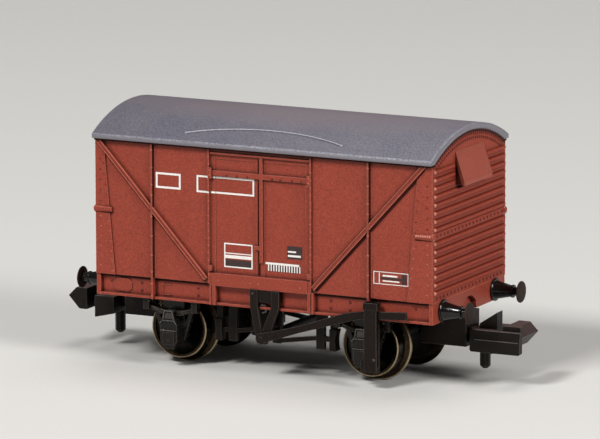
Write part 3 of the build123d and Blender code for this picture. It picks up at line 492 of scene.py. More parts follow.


# Ends: on the real van pressed steel sheets with two rows of round-ended ribs and a riveted seam, here
# plastic, moulded in one with the corner plates. The paint is duller than the sides', and the tips of
# the ribs are painted a pale dry pink as painted highlight.
end_paint = moulded_finish(
    "satin_brown_end_paint", ("#863627", "#913e2d"), edge="#cc7c66", corner_shade="#3a0b05", roughness=0.5,
    patch_mm=2.6, grain_mm=0.14, grain_lift=0.2, bump_mm=0.012, edge_mm=0.07, corner_mm=0.9,
    specular=0.12,
)
tip_highlight_paint = moulded_finish(
    "tip_painted_highlight_brown_paint", ("#b06c5b", "#bd7a69"), edge="#d6a091", corner_shade="#5a2015", roughness=0.42,
    patch_mm=1.2, grain_mm=0.14, grain_lift=0.12, bump_mm=0.006, edge_mm=0.04, corner_mm=0.15,
    specular=0.3,
)
side_sheet_y = 8.15
end_x, inner_x = 18.02, 17.12
foot_z, eave_z, crown_z = 8.75, 21.9, 24.16
arch_radius = (side_sheet_y**2 + (crown_z - eave_z) ** 2) / (2 * (crown_z - eave_z))
seam_z, seam_half, seam_depth, seam_softness = 15.12, 0.36, 0.06, 0.024
rib_pitch, rib_half_width, rib_depth, rib_tip = 0.795, 0.22, 0.24, 7.9
ribs_above, ribs_below, first_rib = 8, 7, 0.67
tip_highlight_from = 7.76
rib_reach, crown_gap = 0.27, 0.0008
hood_half, hood_foot_z, hood_gap = 3.1, 19.35, 0.35
rib_heights = [seam_z + first_rib + rib_pitch * i for i in range(ribs_above)]
rib_heights += [seam_z - first_rib - rib_pitch * i for i in range(ribs_below)]
# height of a rib, its two ends; the ribs beside the vent's hood stop short of it
rib_table = []
for z in rib_heights:
    if z + rib_reach > hood_foot_z:
        rib_table += [(z, hood_half + hood_gap, rib_tip), (z, -rib_tip, -hood_half - hood_gap)]
    else:
        rib_table.append((z, -rib_tip, rib_tip))


def pressed(y, z):
    """How far the sheet is pressed out at a place: over each rib it is the depth times (1 - d squared)
    to the power 0.45, d being the distance to the rib's middle line over its half width, and the seam
    plate is a low step whose edges follow a hyperbolic tangent."""
    out = seam_depth / 2 * (1 - np.tanh((np.abs(z - seam_z) - seam_half) / seam_softness))
    for rib_z, low, high in rib_table:
        past = np.maximum(np.maximum(low + rib_half_width - y, y - high + rib_half_width), 0)
        d = np.minimum(np.hypot(past, z - rib_z) / rib_half_width, 1)
        out = np.maximum(out, rib_depth * (1 - d**2) ** 0.45)
    return out


# The sheet's rows are close together over the ribs, the seam's edges and the arch, and its columns
# over the ribs' tips. Two columns behind it and plain walls close the shell.
rise = [foot_z, foot_z + 0.3]
rise += [
    seam_edge + step for seam_edge in (seam_z - seam_half, seam_z + seam_half)
    for step in (-0.05, -0.015, 0.015, 0.05)
]
for z in rib_heights:
    rise += (z + rib_half_width * np.sin(np.linspace(-pi / 2, pi / 2, 13))).tolist()
rise += np.linspace(eave_z, crown_z - crown_gap, 24).tolist()
rise = np.unique(np.round(rise, 4))
edge_y = np.where(
    rise <= eave_z, side_sheet_y,
    np.sqrt(np.maximum(arch_radius**2 - (rise - crown_z + arch_radius) ** 2, 0)),
)
tip_run = rib_half_width * (1 - np.sin(np.linspace(0, pi / 2, 7)))
half = np.concatenate([
    [0, 1.5, 3.3, 5.0, 6.2, side_sheet_y], rib_tip - tip_run, [rib_tip + 0.05],
    hood_half + hood_gap + tip_run,
])
half = np.unique(np.round(half, 4))
spread = np.concatenate([-half[:0:-1], half]) / side_sheet_y
y = edge_y[:, None] * spread
z = rise[:, None] + 0 * spread
sheet = np.stack([end_x + pressed(y, z), y, z], -1)
rows, columns = len(rise), len(spread)
behind = [np.full((rows, 2), inner_x), edge_y[:, None] * np.array([-1, 1]), z[:, :2]]
points = np.concatenate([sheet.reshape(-1, 3), np.stack(behind, -1).reshape(-1, 3)])
corner = np.arange(rows - 1)[:, None] * columns + np.arange(columns - 1)
quads = np.stack([corner, corner + 1, corner + columns + 1, corner + columns], -1).reshape(-1, 4)
first = rows * columns
low, near = np.arange(rows - 1) * columns, first + 2 * np.arange(rows - 1)
walls = [
    np.stack([low, low + columns, near + 2, near], -1),
    np.stack([low + columns - 1, near + 1, near + 3, low + 2 * columns - 1], -1),
    np.stack([near + 1, near, near + 2, near + 3], -1),
]
faces = np.concatenate([quads, *walls]).tolist()
faces.append([*range(columns), first + 1, first][::-1])
faces.append([*range((rows - 1) * columns, first), first + 2 * rows - 1, first + 2 * rows - 2])
middle = points[quads].mean(axis=1)
# the tips of the ribs take the painted highlight
tip_highlight = np.zeros(len(faces), int)
tip_highlight[:len(quads)] = (np.abs(middle[:, 1]) > tip_highlight_from) & (middle[:, 0] > end_x + 0.03)
add_pair(
    "pressed_end", [(points, facing_out(points, faces))], (end_paint, tip_highlight_paint),
    replaced="end", finish_of=tip_highlight,
)


# Corner plates: they taper up to the roof and carry the heads of the straps, in the sides' paint. The
# side fittings sit a little off the van's middle, so the plates of one end differ in width. Their low
# rivets are painted over, and the high ones are painted dark as painted shade.
def slab(corners, thickness):
    """A flat closed plate: its outline, and the same outline moved by the thickness, joined round."""
    corners = np.array(corners, float)
    points = np.concatenate([corners, corners + np.array(thickness, float)])
    n = len(corners)
    faces = [list(range(n)), list(range(n, 2 * n))[::-1]]
    faces += [[k, n + k, n + (k + 1) % n, (k + 1) % n] for k in range(n)]
    return points, facing_out(points, faces)


side_shift = -0.28
plate_top, plate_foot, plate_slope = end_x - 1.2, end_x - 2.35, 0.0875
plate_end, plate_out = end_x - 0.005, 0.005
inner_inset, inner_drop, outer_inset = 0.22, 0.42, 0.53
strap_half, strap_out, strap_top_z = 0.225, 0.27, eave_z - 0.01
strap_foot, strap_head = np.array([5.73, 9.2]), np.array([17.2, 21.675])
strap_run = (strap_head - strap_foot) / np.linalg.norm(strap_head - strap_foot)
strap_side = np.array([-strap_run[1], strap_run[0]])
low_rows, high_rows = np.arange(9.5, 14.5, 0.97), np.arange(15.9, 20.2, 1.03)
plates, dark_rivets = [], []
for side in (-1, 1):
    shift = -side * side_shift
    top_x, foot_x = plate_top + shift, plate_foot + shift
    outline = ((foot_x, foot_z), (top_x, eave_z), (plate_end, eave_z), (plate_end, foot_z))
    corners = [(x, side * panel_y, z) for x, z in outline]
    plates.append(slab(corners, (0, side * (side_sheet_y + plate_out - panel_y), 0)))
    strap_edges = []
    for offset in (-strap_half, strap_half):
        start = strap_foot + np.array([shift, 0]) + offset * strap_side
        reach = (np.array([top_x, strap_top_z]) - start) / strap_run
        strap_edges.append(start + reach[:, None] * strap_run)
    lower, upper = strap_edges
    corners = [(x, side * panel_y, z) for x, z in (lower[0], lower[1], upper[1], upper[0])]
    plates.append(slab(corners, (0, side * strap_out, 0)))
    for heights, found in ((low_rows, plates), (high_rows, dark_rivets)):
        inner = [
            (foot_x + inner_inset + plate_slope * (z - foot_z), side * side_sheet_y, z)
            for z in heights - inner_drop
        ]
        outer = [(end_x - outer_inset, side * side_sheet_y, z) for z in heights]
        found += [domes(inner, (0, side, 0), 0.08), domes(outer, (0, side, 0), 0.1)]
add_pair("corner_plates", plates, (brown_paint,))
add_pair("corner_rivets", dark_rivets, (shade_paint,))


# Straps: each bar has a thin lip along both edges, broken where a stanchion stands before it. The lips
# are painted pale as painted highlight. Painted shadow, nearly black, lies in the angle below the strap
# and beside each stanchion, under the side's foot and beside the strip between the doors.
def tube_walls(n, m):
    """The quads between n rings of m points each: point k of a ring, the point after it, and the same
    two of the next ring."""
    row, k = np.arange(n - 1)[:, None] * m, np.arange(m)
    after = (k + 1) % m
    return np.stack([row + k, row + after, row + m + after, row + m + k], -1).reshape(-1, 4)


def carried(section, path, outward):
    """A section carried along a path of flat steps: at each point its first ordinate goes along the
    outward direction there, one for all or one each, and its second along the path's other side, with
    mitred corners."""
    path = np.array(path, float)
    outward = np.broadcast_to(np.array(outward, float), path.shape)
    step = np.diff(path, axis=0)
    step /= np.linalg.norm(step, axis=1)[:, None]
    ahead = np.concatenate([step[:1], step[:-1] + step[1:], step[-1:]])
    ahead /= np.linalg.norm(ahead, axis=1)[:, None]
    beside = np.cross(ahead, outward)
    section = np.array(section, float)
    lift, reach = section[None, :, :1], section[None, :, 1:]
    points = path[:, None] + lift * outward[:, None] + reach * beside[:, None]
    n, m = points.shape[:2]
    faces = tube_walls(n, m).tolist() + [list(range(m)), list(range((n - 1) * m, n * m))[::-1]]
    points = points.reshape(-1, 3)
    return points, facing_out(points, faces)


def side_block(left_x, right_x, low, high, from_y, thickness):
    """A block on the -Y side: a rectangle of the side at a distance from the middle, grown outwards."""
    outline = ((left_x, low), (right_x, low), (right_x, high), (left_x, high))
    return slab([(x, -from_y, z) for x, z in outline], (0, -thickness, 0))


# painted shadow: nearly black paint laid where shade falls
painted_shadow_paint = moulded_finish(
    "painted_shadow_brown_paint", ("#300c07", "#3a110a"), edge="#5c2319", corner_shade="#180503", roughness=0.5,
    patch_mm=2.6, grain_mm=0.14, grain_lift=0.2, bump_mm=0.004, edge_mm=0.02, corner_mm=0.4,
    specular=0.1,
)
stanchion_x, stanchion_half, stanchion_clear = 11.58, 0.075, 0.12
lip_inset, lips_stop, shadows_stop = 0.05, eave_z - 0.02, eave_z - 0.3
# sections: how far out, how far to the side
lip_section = [(-0.02, 0.05), (0.07, 0.035), (0.07, -0.035), (-0.02, -0.05)]
strap_shadow = [(-0.02, -0.03), (0.25, -0.03), (0.25, 0.01), (0.04, 0.23), (-0.02, 0.23)]
stanchion_shadow = [(-0.02, -0.02), (0.2, -0.02), (0.2, 0.015), (0.03, 0.13), (-0.02, 0.13)]
lips, painted_shadows = [], []
for mirrored in (1, -1):
    for offset, section, out, last_z, found in (
        (lip_inset - strap_half, lip_section, strap_out, lips_stop, lips),
        (strap_half - lip_inset, lip_section, strap_out, lips_stop, lips),
        (-strap_half, strap_shadow, 0, shadows_stop, painted_shadows),
    ):
        start = strap_foot + offset * strap_side
        slope = strap_run[1] / strap_run[0]
        last_x = start[0] + (last_z - start[1]) / slope
        for stretch in (
            (start[0], stanchion_x - stanchion_clear), (stanchion_x + stanchion_clear, last_x),
        ):
            path = [
                (mirrored * x + side_shift, -panel_y - out, start[1] + (x - start[0]) * slope)
                for x in stretch
            ]
            found.append(carried([(lift, mirrored * b) for lift, b in section], path, (0, -1, 0)))
    beside_x = mirrored * stanchion_x + side_shift + stanchion_half
    path = [(beside_x, -panel_y - 0.05, z) for z in (foot_z + 0.05, eave_z - 0.1)]
    painted_shadows.append(carried(stanchion_shadow, path, (0, -1, 0)))
add_pair("strap_lips_side", lips, (highlight_paint,))
# left, right, foot, head, how far out from the middle of the van, thickness
under_foot = (-17.45, 17.45, 8.45, 8.72, 7.5, 0.14)
beside_door_strip = (-0.54, -0.29, 9.95, 21.2, 7.9, 0.07)
painted_shadows += [side_block(*under_foot), side_block(*beside_door_strip)]
add_pair("painted_shadows_side", painted_shadows, (painted_shadow_paint,))


# The seam's band: a strip half round outside, in the sides' paint, that laps round each corner of the
# van. The rivets on its end are painted a pale dry pink as painted highlight.
band_start, band_stop = 16.22, 7.7
band_rivets, band_rivet_pitch, first_band_rivet = 7, 0.24, band_start + 0.16
band_section = [(0.15 * sin(a), 0.24 * cos(a)) for a in np.linspace(0, pi, 9)]
band_section += [(-0.1, -0.24), (-0.1, 0.24)]
bands = []
for side in (-1, 1):
    path = [
        (band_start, side * side_sheet_y, seam_z), (end_x, side * side_sheet_y, seam_z),
        (end_x, side * band_stop, seam_z),
    ]
    bands.append(carried(band_section, path, [(0, side, 0), (1, side, 0), (1, 0, 0)]))
add_pair("corner_bands", bands, (brown_paint,))
places = [
    (first_band_rivet + band_rivet_pitch * k, -side_sheet_y - 0.1, seam_z + 0.08)
    for k in range(band_rivets)
]
add_pair("band_rivets_side", [domes(places, (0, -1, 0), 0.13, height=0.8)], (tip_highlight_paint,))


# Painted shadow lines: nearly black paint in the gaps where shade falls, drawn as flat beads. One lies
# below each band, one follows the arch under the roof's end, and one runs along under the eaves.
band_bead = [(-0.05, 0.06), (0.03, 0.06), (0.03, -0.06), (-0.05, -0.06)]
arch_bead = [(-0.05, 0.12), (0.04, 0.12), (0.04, -0.12), (-0.05, -0.12)]
eave_bead = [(-0.3, 0.1), (0.03, 0.1), (0.03, -0.1), (-0.3, -0.1)]
bead_drop, eave_bead_out, eave_bead_up, arch_steps = 0.3, 0.22, 0.08, 41
arch_z = crown_z - arch_radius
beads = []
for side in (-1, 1):
    path = [(x, side * side_sheet_y, seam_z - bead_drop) for x in (band_start, end_x - 0.1)]
    beads.append(carried(band_bead, path, (0, side, 0)))
bead_radius = arch_radius - 0.1
turns = np.linspace(-1, 1, arch_steps) * np.arcsin((side_sheet_y - 0.1) / bead_radius)
path = [(end_x, bead_radius * sin(a), arch_z + bead_radius * cos(a)) for a in turns]
beads.append(carried(arch_bead, path, (1, 0, 0)))
path = [(x, -side_sheet_y - eave_bead_out, eave_z + eave_bead_up) for x in (-end_x, end_x)]
beads.append(carried(eave_bead, path, (0, -1, 0)))
add_pair("painted_shadow_lines", beads, (painted_shadow_paint,))


# Rivets of the ends: low domes moulded along the seam, along the foot and in two rows that follow the
# roof, painted dark as painted shade. The vent's hood covers those behind it.
rivet_pitch, arch_pitch, foot_row_z, hood_top_z = 0.8, 0.46, 9.12, 22.75
drops_below_arch = (0.38, 0.79)
places = [
    (y, z, out) for y in np.arange(-9, 10) * rivet_pitch
    for z, out in ((seam_z, seam_depth), (foot_row_z, 0))
]
for drop in drops_below_arch:
    radius = arch_radius - drop
    turns = np.arange(-17, 18) * arch_pitch / radius
    places += [(radius * sin(a), arch_z + radius * cos(a), 0) for a in turns]
in_view = [
    (end_x + out, y, z) for y, z, out in places
    if abs(y) > hood_half + 0.1 or z < hood_foot_z or z > hood_top_z
]
add_pair("end_rivets", [domes(in_view, (1, 0, 0), 0.15, height=0.6)], (shade_paint,))


# Printed marks: white and black ink stamped on the sides, each a film of a few hundredths of a
# millimetre that follows the door's steps. They are blank frames, a black patch and a comb: the ink
# lies matt and even on the paint, and the white lets a little of it through.
white_ink = moulded_finish(
    "white_stamping_ink", ("#dcd5cf", "#e8e2dc"), edge="#f2eee9", corner_shade="#a08c84", roughness=0.5,
    patch_mm=0.6, grain_mm=0.15, grain_lift=0.08, bump_mm=0.003, edge_mm=0.02, corner_mm=0.1,
)
black_ink = moulded_finish(
    "black_stamping_ink", ("#2a1c1d", "#33201f"), edge="#3a2626", corner_shade="#1c1213", roughness=0.5,
    patch_mm=0.6, grain_mm=0.15, grain_lift=0.10, bump_mm=0.003, edge_mm=0.02, corner_mm=0.1,
)
ink_film = 0.02
post_edges, leaf_edge, inner_leaf, leaf_y = (-5.82, -5.66), -5.58, -5.10, 7.88
# a stretch of the side from one place along it to the next, and how far out the side is there
side_steps = (
    (-18.0, post_edges[0], panel_y), (*post_edges, 8.23), (leaf_edge, inner_leaf, 7.94),
    (inner_leaf, -0.76, leaf_y), (0.2, 4.54, leaf_y), (5.4, 18.0, panel_y),
)
# left, right, foot, head, width of the line
blank_frames = [
    (-11.5, -8.8, 17.62, 19.16, 0.2), (-7.08, -0.96, 17.54, 19.21, 0.18),
    (-4.22, -1.16, 10.44, 12.82, 0.13), (11.78, 15.45, 10.21, 11.44, 0.07),
]
# left, right, foot, head of each bar
white_bars = [
    (-4.09, -1.29, 11.78, 11.88), (-4.09, -1.29, 11.34, 11.66), (0.22, 3.82, 11.1, 11.3),
    (2.62, 3.5, 12.42, 12.58), (2.62, 4.0, 12.0, 12.2), (12.35, 12.43, 10.31, 11.34),
    (12.75, 14.3, 10.98, 11.14), (12.75, 14.5, 10.5, 10.62),
]
black_bars = [
    (2.55, 4.15, 11.81, 12.0), (2.55, 4.15, 12.2, 12.42), (2.55, 4.15, 12.58, 13.04),
    (2.55, 2.62, 12.0, 12.58), (3.5, 4.15, 12.42, 12.58), (4.0, 4.15, 12.0, 12.2),
    (-4.09, -1.29, 10.57, 11.2), (14.75, 15.25, 10.36, 11.28), (12.55, 14.75, 10.7, 10.9),
]
for left_x, right_x, low, high, line in blank_frames:
    white_bars += [(left_x, right_x, high - line, high), (left_x, right_x, low, low + line)]
    white_bars += [
        (left_x, left_x + line, low + line, high - line),
        (right_x - line, right_x, low + line, high - line),
    ]
comb_x, comb_foot, comb_head, comb_pitch, tooth, teeth = 0.5, 10.47, 11.1, 0.277, 0.12, 13
for k in range(teeth):
    tooth_x = comb_x + comb_pitch * k
    white_bars.append((tooth_x, tooth_x + tooth, comb_foot, comb_head))
    if k < teeth - 1:
        black_bars.append((tooth_x + tooth, tooth_x + comb_pitch, comb_foot, comb_head))
for name, bars, ink in (
    ("white_marks_side", white_bars, white_ink), ("black_marks_side", black_bars, black_ink),
):
    films = []
    for left_x, right_x, low, high in bars:
        for start, stop, out in side_steps:
            if max(left_x, start) < min(right_x, stop):
                stretch = max(left_x, start), min(right_x, stop)
                films.append(side_block(*stretch, low, high, out, ink_film))
    add_pair(name, films, (ink,))


# Sill ends and label clips: the sill runs on to the door posts in two short blocks, and a clip for a
# paper label stands on each solebar, as three thin rims open at one side. Both are moulded plastic in
# the sides' paint.
sill_foot, sill_head, sill_from, sill_out, sill_run = 8.59, 9.8, 7.7, 0.5, 0.28
sill_ends = [
    side_block(left_x, left_x + sill_run, sill_foot, sill_head, sill_from, sill_out)
    for left_x in (-5.66, 4.82)
]
add_pair("sill_ends_side", sill_ends, (brown_paint,))
# left, right, foot, head
clip_rims = [(-11.03, -10.96, 7.1, 8.2), (-10.96, -10.1, 8.13, 8.2), (-10.96, -10.1, 7.1, 7.17)]
clip_out = 0.09
rims = [side_block(*place, solebar_web_y, clip_out) for place in clip_rims]
add_pair("label_clip_side", rims, (brown_paint,))


# Springs: leaves that bow down by the square of the distance from the axle, and the bolts of the
# axleboxes and hangers, in the underframe's black plastic, moulded on the axleguards.
def on_both_axles(shells):
    """Shells made for the front axle, joined, and their mirror image about the middle of the van for
    the rear one, its faces turned round."""
    points, faces = joined(shells)
    return [
        (points * np.array([turn, 1, 1]), [face[::turn] for face in faces]) for turn in (1, -1)
    ]


leaf_foot_z, leaf_reach, leaf_rise, spring_y = 4.98, 2.6, 0.7, 7.3
lowest_leaf, leaf_pitch, leaf_closing = 0.07, 0.12, 0.3
leaf_section = [(-0.04, 0.04), (0.06, 0.04), (0.06, -0.04), (-0.04, -0.04)]
leaves = []
for k, share in enumerate((0.55, 0.75, 0.92, 1.0)):
    t = np.array([-1, -0.6, -0.2, 0.2, 0.6, 1]) * share
    z = leaf_foot_z + leaf_rise * t**2 + (lowest_leaf + leaf_pitch * k) * (1 - leaf_closing * t**2)
    path = np.stack([axle_x + leaf_reach * t, 0 * t - spring_y, z], -1)
    leaves.append(carried(leaf_section, path, (0, -1, 0)))
box_bolts = [(9.85, -7.9, 3.42), (10.75, -7.9, 3.42), (axle_x, -8.02, 2.62)]
hanger_bolts = [(8.6, -6.8, 5.9), (12.0, -6.8, 5.9), (7.7, -7.58, 6.3), (12.9, -7.58, 6.3)]
leaves += [domes(box_bolts, (0, -1, 0), 0.11), domes(hanger_bolts, (0, -1, 0), 0.12)]
add_pair("spring_leaves_side", on_both_axles(leaves), (black_plastic,))


# Axlebox rims: the spring's buckle, the crown and the lid of each axlebox stand out as thin rims, of
# black plastic painted a paler grey with a sharper shine as painted highlight.
highlight_black = moulded_finish(
    "painted_highlight_black_plastic", ("#2b2826", "#37332f"), edge="#8b8680", corner_shade="#0c0b0a", roughness=0.3,
    patch_mm=1.0, grain_mm=0.16, grain_lift=0.35, bump_mm=0.01, edge_mm=0.05, corner_mm=0.2,
    specular=0.4,
)
rim = [(-0.1, 0.06), (0.05, 0.06), (0.05, -0.06), (-0.1, -0.06)]
thin_rim = [(-0.05, 0.035), (0.04, 0.035), (0.04, -0.035), (-0.05, -0.035)]
box_y, buckle_y, hanger_y = 8.02, 7.95, 7.58
buckle = [(x, -buckle_y, z) for x, z in ((9.72, 4.75), (9.9, 5.6), (10.7, 5.6), (10.88, 4.75))]
crown = [(x, -box_y, z) for x, z in ((9.42, 4.36), (9.68, 4.66), (10.92, 4.66), (11.18, 4.36))]
lid = [(x, -box_y, 3.68) for x in (9.5, 11.1)]
buckle_plate = [(x, -6.9, z) for x, z in ((9.72, 4.72), (9.9, 5.6), (10.7, 5.6), (10.88, 4.72))]
box_rims = [carried(rim, buckle, (0, -1, 0)), carried(thin_rim, crown, (0, -1, 0))]
box_rims += [carried(thin_rim, lid, (0, -1, 0)), domes([(10.85, -box_y, 3.7)], (0, -1, 0), 0.12)]
box_rims.append(slab(buckle_plate, (0, -0.98, 0)))
box_rims.append(domes([(7.9, -hanger_y, 6.35), (12.6, -hanger_y, 6.35)], (0, -1, 0), 0.14))
add_pair("axlebox_rims_side", on_both_axles(box_rims), (highlight_black,))


# Brake gear's bolts: the end of the cross shaft with its shackle, and the rack's pin, in the same
# plastic with painted highlight. The rack's cap, its foot and the boss of the vee are in the duller
# black.
shackle = [(x, -buckle_y, z) for x, z in ((-0.25, 7.07), (0.2, 7.06), (0.28, 6.43), (-0.1, 6.3))]
brake_bolts = [
    domes([(-0.95, -8.35, 8.2)], (0, -1, 0), 0.11), carried(rim, shackle, (0, -1, 0)),
    domes([(12.2, -8.87, 2.95)], (0, -1, 0), 0.17),
]
add_pair("brake_bolts_side", brake_bolts, (highlight_black,))
cap_outline = (
    (11.05, 8.3), (11.12, 8.45), (12.48, 8.45), (12.55, 8.3), (12.55, 7.75), (11.05, 7.75),
)
foot_outline = ((10.75, 1.75), (11.2, 1.75), (11.2, 3.1), (10.75, 2.8))
rack = [
    domes([(0, -8.6, 3.9)], (0, -1, 0), 0.24),
    slab([(x, -8.9, z) for x, z in cap_outline], (0, 0.85, 0)),
    slab([(x, -8.75, z) for x, z in foot_outline], (0, 0.6, 0)),
]
add_pair("rack_cap_side", rack, (black_plastic,))


# Coupling edges: the crease along the outer face of each coupling's arm and the edge above it, painted
# paler as painted highlight, as on the axleboxes. They ride with the coupling.
arm_from, arm_to = 19.75, 24.3
for end, turn in (("front", 1), ("rear", -1)):
    points, faces = joined([
        carried(thin_rim, [(arm_from, y, z), (arm_to, y, z)], (0, -1, 0))
        for y, z in ((-2.38, 4.46), (-2.24, 5.38))
    ])
    add_piece(
        f"coupling_edges_{end}", points * np.array([turn, turn, 1]), faces, (highlight_black,),
        f"coupling_{end}",
    )


# Roof: a thin curved moulding with a rounded lip all round, painted matt grey. The paint is dark and
# cool on the slopes and paler on top, with dust and painted top light. The lip and the sharp edge at
# each end are painted pale as painted highlight.
grey_paint = moulded_finish(
    "matt_grey_paint", ("#53535f", "#666168"), edge="#9a98a0", corner_shade="#3a3a40", roughness=0.6,
    patch_mm=5.0, grain_mm=0.15, grain_lift=0.34, bump_mm=0.015, edge_mm=0.08, corner_mm=0.5,
    specular=0.4, dust_and_top_light="#726569", dust_and_top_light_slopes=(0.945, 1.0), dust_and_top_light_cover=0.65,
)
highlight_grey = moulded_finish(
    "painted_highlight_grey_paint", ("#6e6b73", "#7b777e"), edge="#b4b2b9", corner_shade="#4c4c53", roughness=0.5,
    patch_mm=1.5, grain_mm=0.14, grain_lift=0.12, bump_mm=0.006, edge_mm=0.1, corner_mm=0.4,
)
lip_highlight_paint = moulded_finish(
    "painted_highlight_lip_grey_paint", ("#6c6b74", "#818087"), edge="#a5a4ac", corner_shade="#4c4c53", roughness=0.5,
    patch_mm=2.0, grain_mm=0.22, grain_lift=0.35, bump_mm=0.006, edge_mm=0.06, corner_mm=0.2,
    specular=0.4,
)
roof_half_x = 18.16
eave_y = 8.69
crest_z, roof_foot_z = 24.76, eave_z + 0.17
lip_depth, lip_round, foot_bevel = 0.45, 0.1, 0.05
ledge_inset, ledge_gap, roof_columns = 0.09, 0.05, 97
top_rise = crest_z - roof_foot_z - lip_depth
top_radius = (eave_y**2 + top_rise**2) / (2 * top_rise)


def roof_z(y):
    """Height of the roof's upper face at a distance y from the middle: one circle from lip to lip."""
    return crest_z - top_radius + np.sqrt(top_radius**2 - y**2)


# The section goes up over the outer face from lip to lip, and back along the inner face, which rests
# on the sides and the arches of the ends.
across = np.linspace(-1, 1, roof_columns) * (eave_y - lip_round)
lip_side = [(eave_y - foot_bevel, roof_foot_z), (eave_y, roof_foot_z + foot_bevel)]
lip_side += [
    (eave_y - lip_round * (1 - cos(a)), roof_z(eave_y) - lip_round * (1 - sin(a)))
    for a in np.linspace(0, 0.85, 4) * pi / 2
]
outer = [(-y, z) for y, z in lip_side] + [(y, roof_z(y)) for y in across] + lip_side[::-1]
ledge = np.linspace(eave_y - ledge_inset, side_sheet_y + ledge_gap, len(lip_side))
inner_y = np.concatenate([
    -ledge, np.linspace(-side_sheet_y, side_sheet_y, roof_columns), ledge[::-1],
])
arch_y = np.clip(inner_y, -side_sheet_y, side_sheet_y)
inner_z = np.maximum(arch_z + np.sqrt(arch_radius**2 - arch_y**2), roof_foot_z)
section = np.concatenate([np.array(outer), np.stack([inner_y, inner_z], -1)[::-1]])
ahead = np.roll(section, -1, 0) - np.roll(section, 1, 0)
inward = np.stack([ahead[:, 1], -ahead[:, 0]], -1)
inward /= np.linalg.norm(inward, axis=1)[:, None]
# place along the van and how far the section has drawn in there, for the rounded ends
stations = [(-roof_half_x, 0.1), (-roof_half_x + 0.03, 0.045), (-roof_half_x + 0.12, 0), (0, 0)]
stations += [(-x, inset) for x, inset in stations[-2::-1]]
n, m = len(stations), len(section)
points = np.concatenate([
    np.column_stack([np.full(m, x), section + inset * inward]) for x, inset in stations
])
k = np.arange(m // 2 - 1)
cap = np.stack([k, k + 1, m - 2 - k, m - 1 - k], -1)
faces = tube_walls(n, m).tolist() + cap.tolist() + ((n - 1) * m + cap[:, ::-1]).tolist()
# the faces near the lip's foot are its edge and the next ones its rounded face, both in painted
# highlight; the end stations are in painted highlight all round
painted, highlit_edge, lip_face = range(3)
from_foot = np.minimum(np.arange(m), np.abs(m // 2 - 2 - np.arange(m)))
finish = np.where(from_foot < 2, highlit_edge, np.where(from_foot < 6, lip_face, painted))
at_end = np.where(finish == highlit_edge, highlit_edge, lip_face)
finish_of = np.concatenate([
    at_end, at_end, *[finish] * (n - 5), at_end, at_end, np.full(2 * len(cap), highlit_edge),
])
roof = add_piece(
    "curved_roof", points, facing_out(points, faces), (grey_paint, highlight_grey, lip_highlight_paint), "van",
    finish_of=finish_of, soft=50,
)
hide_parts("roof")


# Rain strips: one on each slope of the roof, a thin raised bar that bows up over the door to a knob
# at either end. It is moulded with the roof, and painted pale grey as painted highlight.
strip_highlight_paint = moulded_finish(
    "strip_painted_highlight_grey_paint", ("#86858e", "#9b99a1"), edge="#c9c8cf", corner_shade="#55555c", roughness=0.45,
    patch_mm=2.0, grain_mm=0.2, grain_lift=0.3, bump_mm=0.004, edge_mm=0.05, corner_mm=0.15,
)
strip_half, strip_middle = 8.3, -0.15
strip_end_y, strip_peak_y = 7.55, 6.15
strip_steps = 61
strip_bow = strip_end_y - strip_peak_y
strip_radius = (strip_half**2 + strip_bow**2) / (2 * strip_bow)
strip_section = [
    (-0.1, 0.06), (0.09, 0.06), (0.12, 0.03), (0.12, -0.03), (0.09, -0.06), (-0.1, -0.06),
]
x = np.linspace(-strip_half, strip_half, strip_steps)
y = -(strip_peak_y + strip_radius - np.sqrt(strip_radius**2 - x**2))
slope = np.stack([0 * x, y, np.sqrt(top_radius**2 - y**2)], -1) / top_radius
path = np.stack([x + strip_middle, y, roof_z(y)], -1)
right_strip, strip_faces = carried(strip_section, path, slope)
knobs = [
    (turn * (strip_middle + reach), turn * -strip_end_y, roof_z(strip_end_y) + 0.02)
    for turn in (1, -1) for reach in (-strip_half, strip_half)
]
points, faces = joined([
    (right_strip, strip_faces), (right_strip * np.array([-1, -1, 1]), strip_faces),
    domes(knobs, (0, 0, 1), 0.15, height=0.9),
])
add_piece("rain_strips", points, faces, (strip_highlight_paint,), "van")


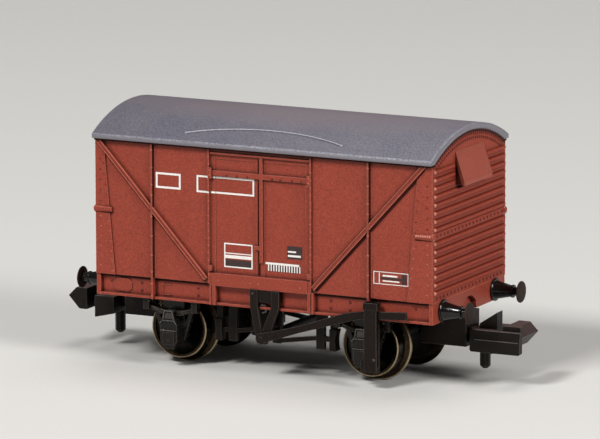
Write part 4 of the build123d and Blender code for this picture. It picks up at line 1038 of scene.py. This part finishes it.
# Buffers: moulded plastic shells on a round base, with a collar, a ram and a slightly domed head. The
# shells are polished by the mould to a deep gloss. The heads are rubbed dull and uneven, and painted
# brown as a painted reflection of brown ground.
glossy_black = moulded_finish(
    "glossy_black_plastic", ("#0b0908", "#0f0c0b"), edge="#3a3430", corner_shade="#050404", roughness=0.15,
    patch_mm=2.0, grain_mm=0.3, grain_lift=0.2, bump_mm=0.006, edge_mm=0.05, corner_mm=0.3,
    specular=0.4,
)
head_reflection_black = moulded_finish(
    "head_plastic_painted_reflection", ("#231916", "#2c201c"), edge="#5c5048", corner_shade="#080605", roughness=0.5,
    patch_mm=1.0, grain_mm=0.16, grain_lift=0.35, bump_mm=0.01, edge_mm=0.05, corner_mm=0.3,
    specular=0.1,
)
buffer_y, buffer_z = 5.8, 7.7
head_face = 20.92
buffer_steps = 64
# radius, place along the van
buffer_outline = (
    (0.0001, end_x - 0.02), (1.1, end_x - 0.02), (1.1, end_x + 0.16), (1.06, end_x + 0.2),
    (0.9, end_x + 0.22), (0.88, end_x + 0.3), (0.55, end_x + 1.8), (0.55, end_x + 1.85),
    (0.63, end_x + 1.88), (0.63, end_x + 2.04), (0.6, end_x + 2.07), (0.4, end_x + 2.07),
    (0.4, head_face - 0.34), (0.55, head_face - 0.25), (0.98, head_face - 0.2),
    (1.05, head_face - 0.16), (1.06, head_face - 0.1), (1.03, head_face - 0.05),
    (0.8, head_face - 0.015), (0.4, head_face - 0.002), (0.0001, head_face),
)
buffer_base, buffer_quads = turned(buffer_outline, buffer_steps)
on_head = np.repeat([place > head_face - 0.3 for radius, place in buffer_outline], buffer_steps)
for end, turn in (("front", 1), ("rear", -1)):
    for side, y_sign in (("right", -1), ("left", 1)):
        points = buffer_base * np.array([turn, turn, 1]) + np.array([0, y_sign * buffer_y, buffer_z])
        buffer = add_piece(
            f"turned_buffer_{end}_{side}", points, facing_out(points, buffer_quads.tolist()),
            (glossy_black, head_reflection_black), "van", finish_of=on_head,
        )
        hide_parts(f"buffer_{end}_{side}")
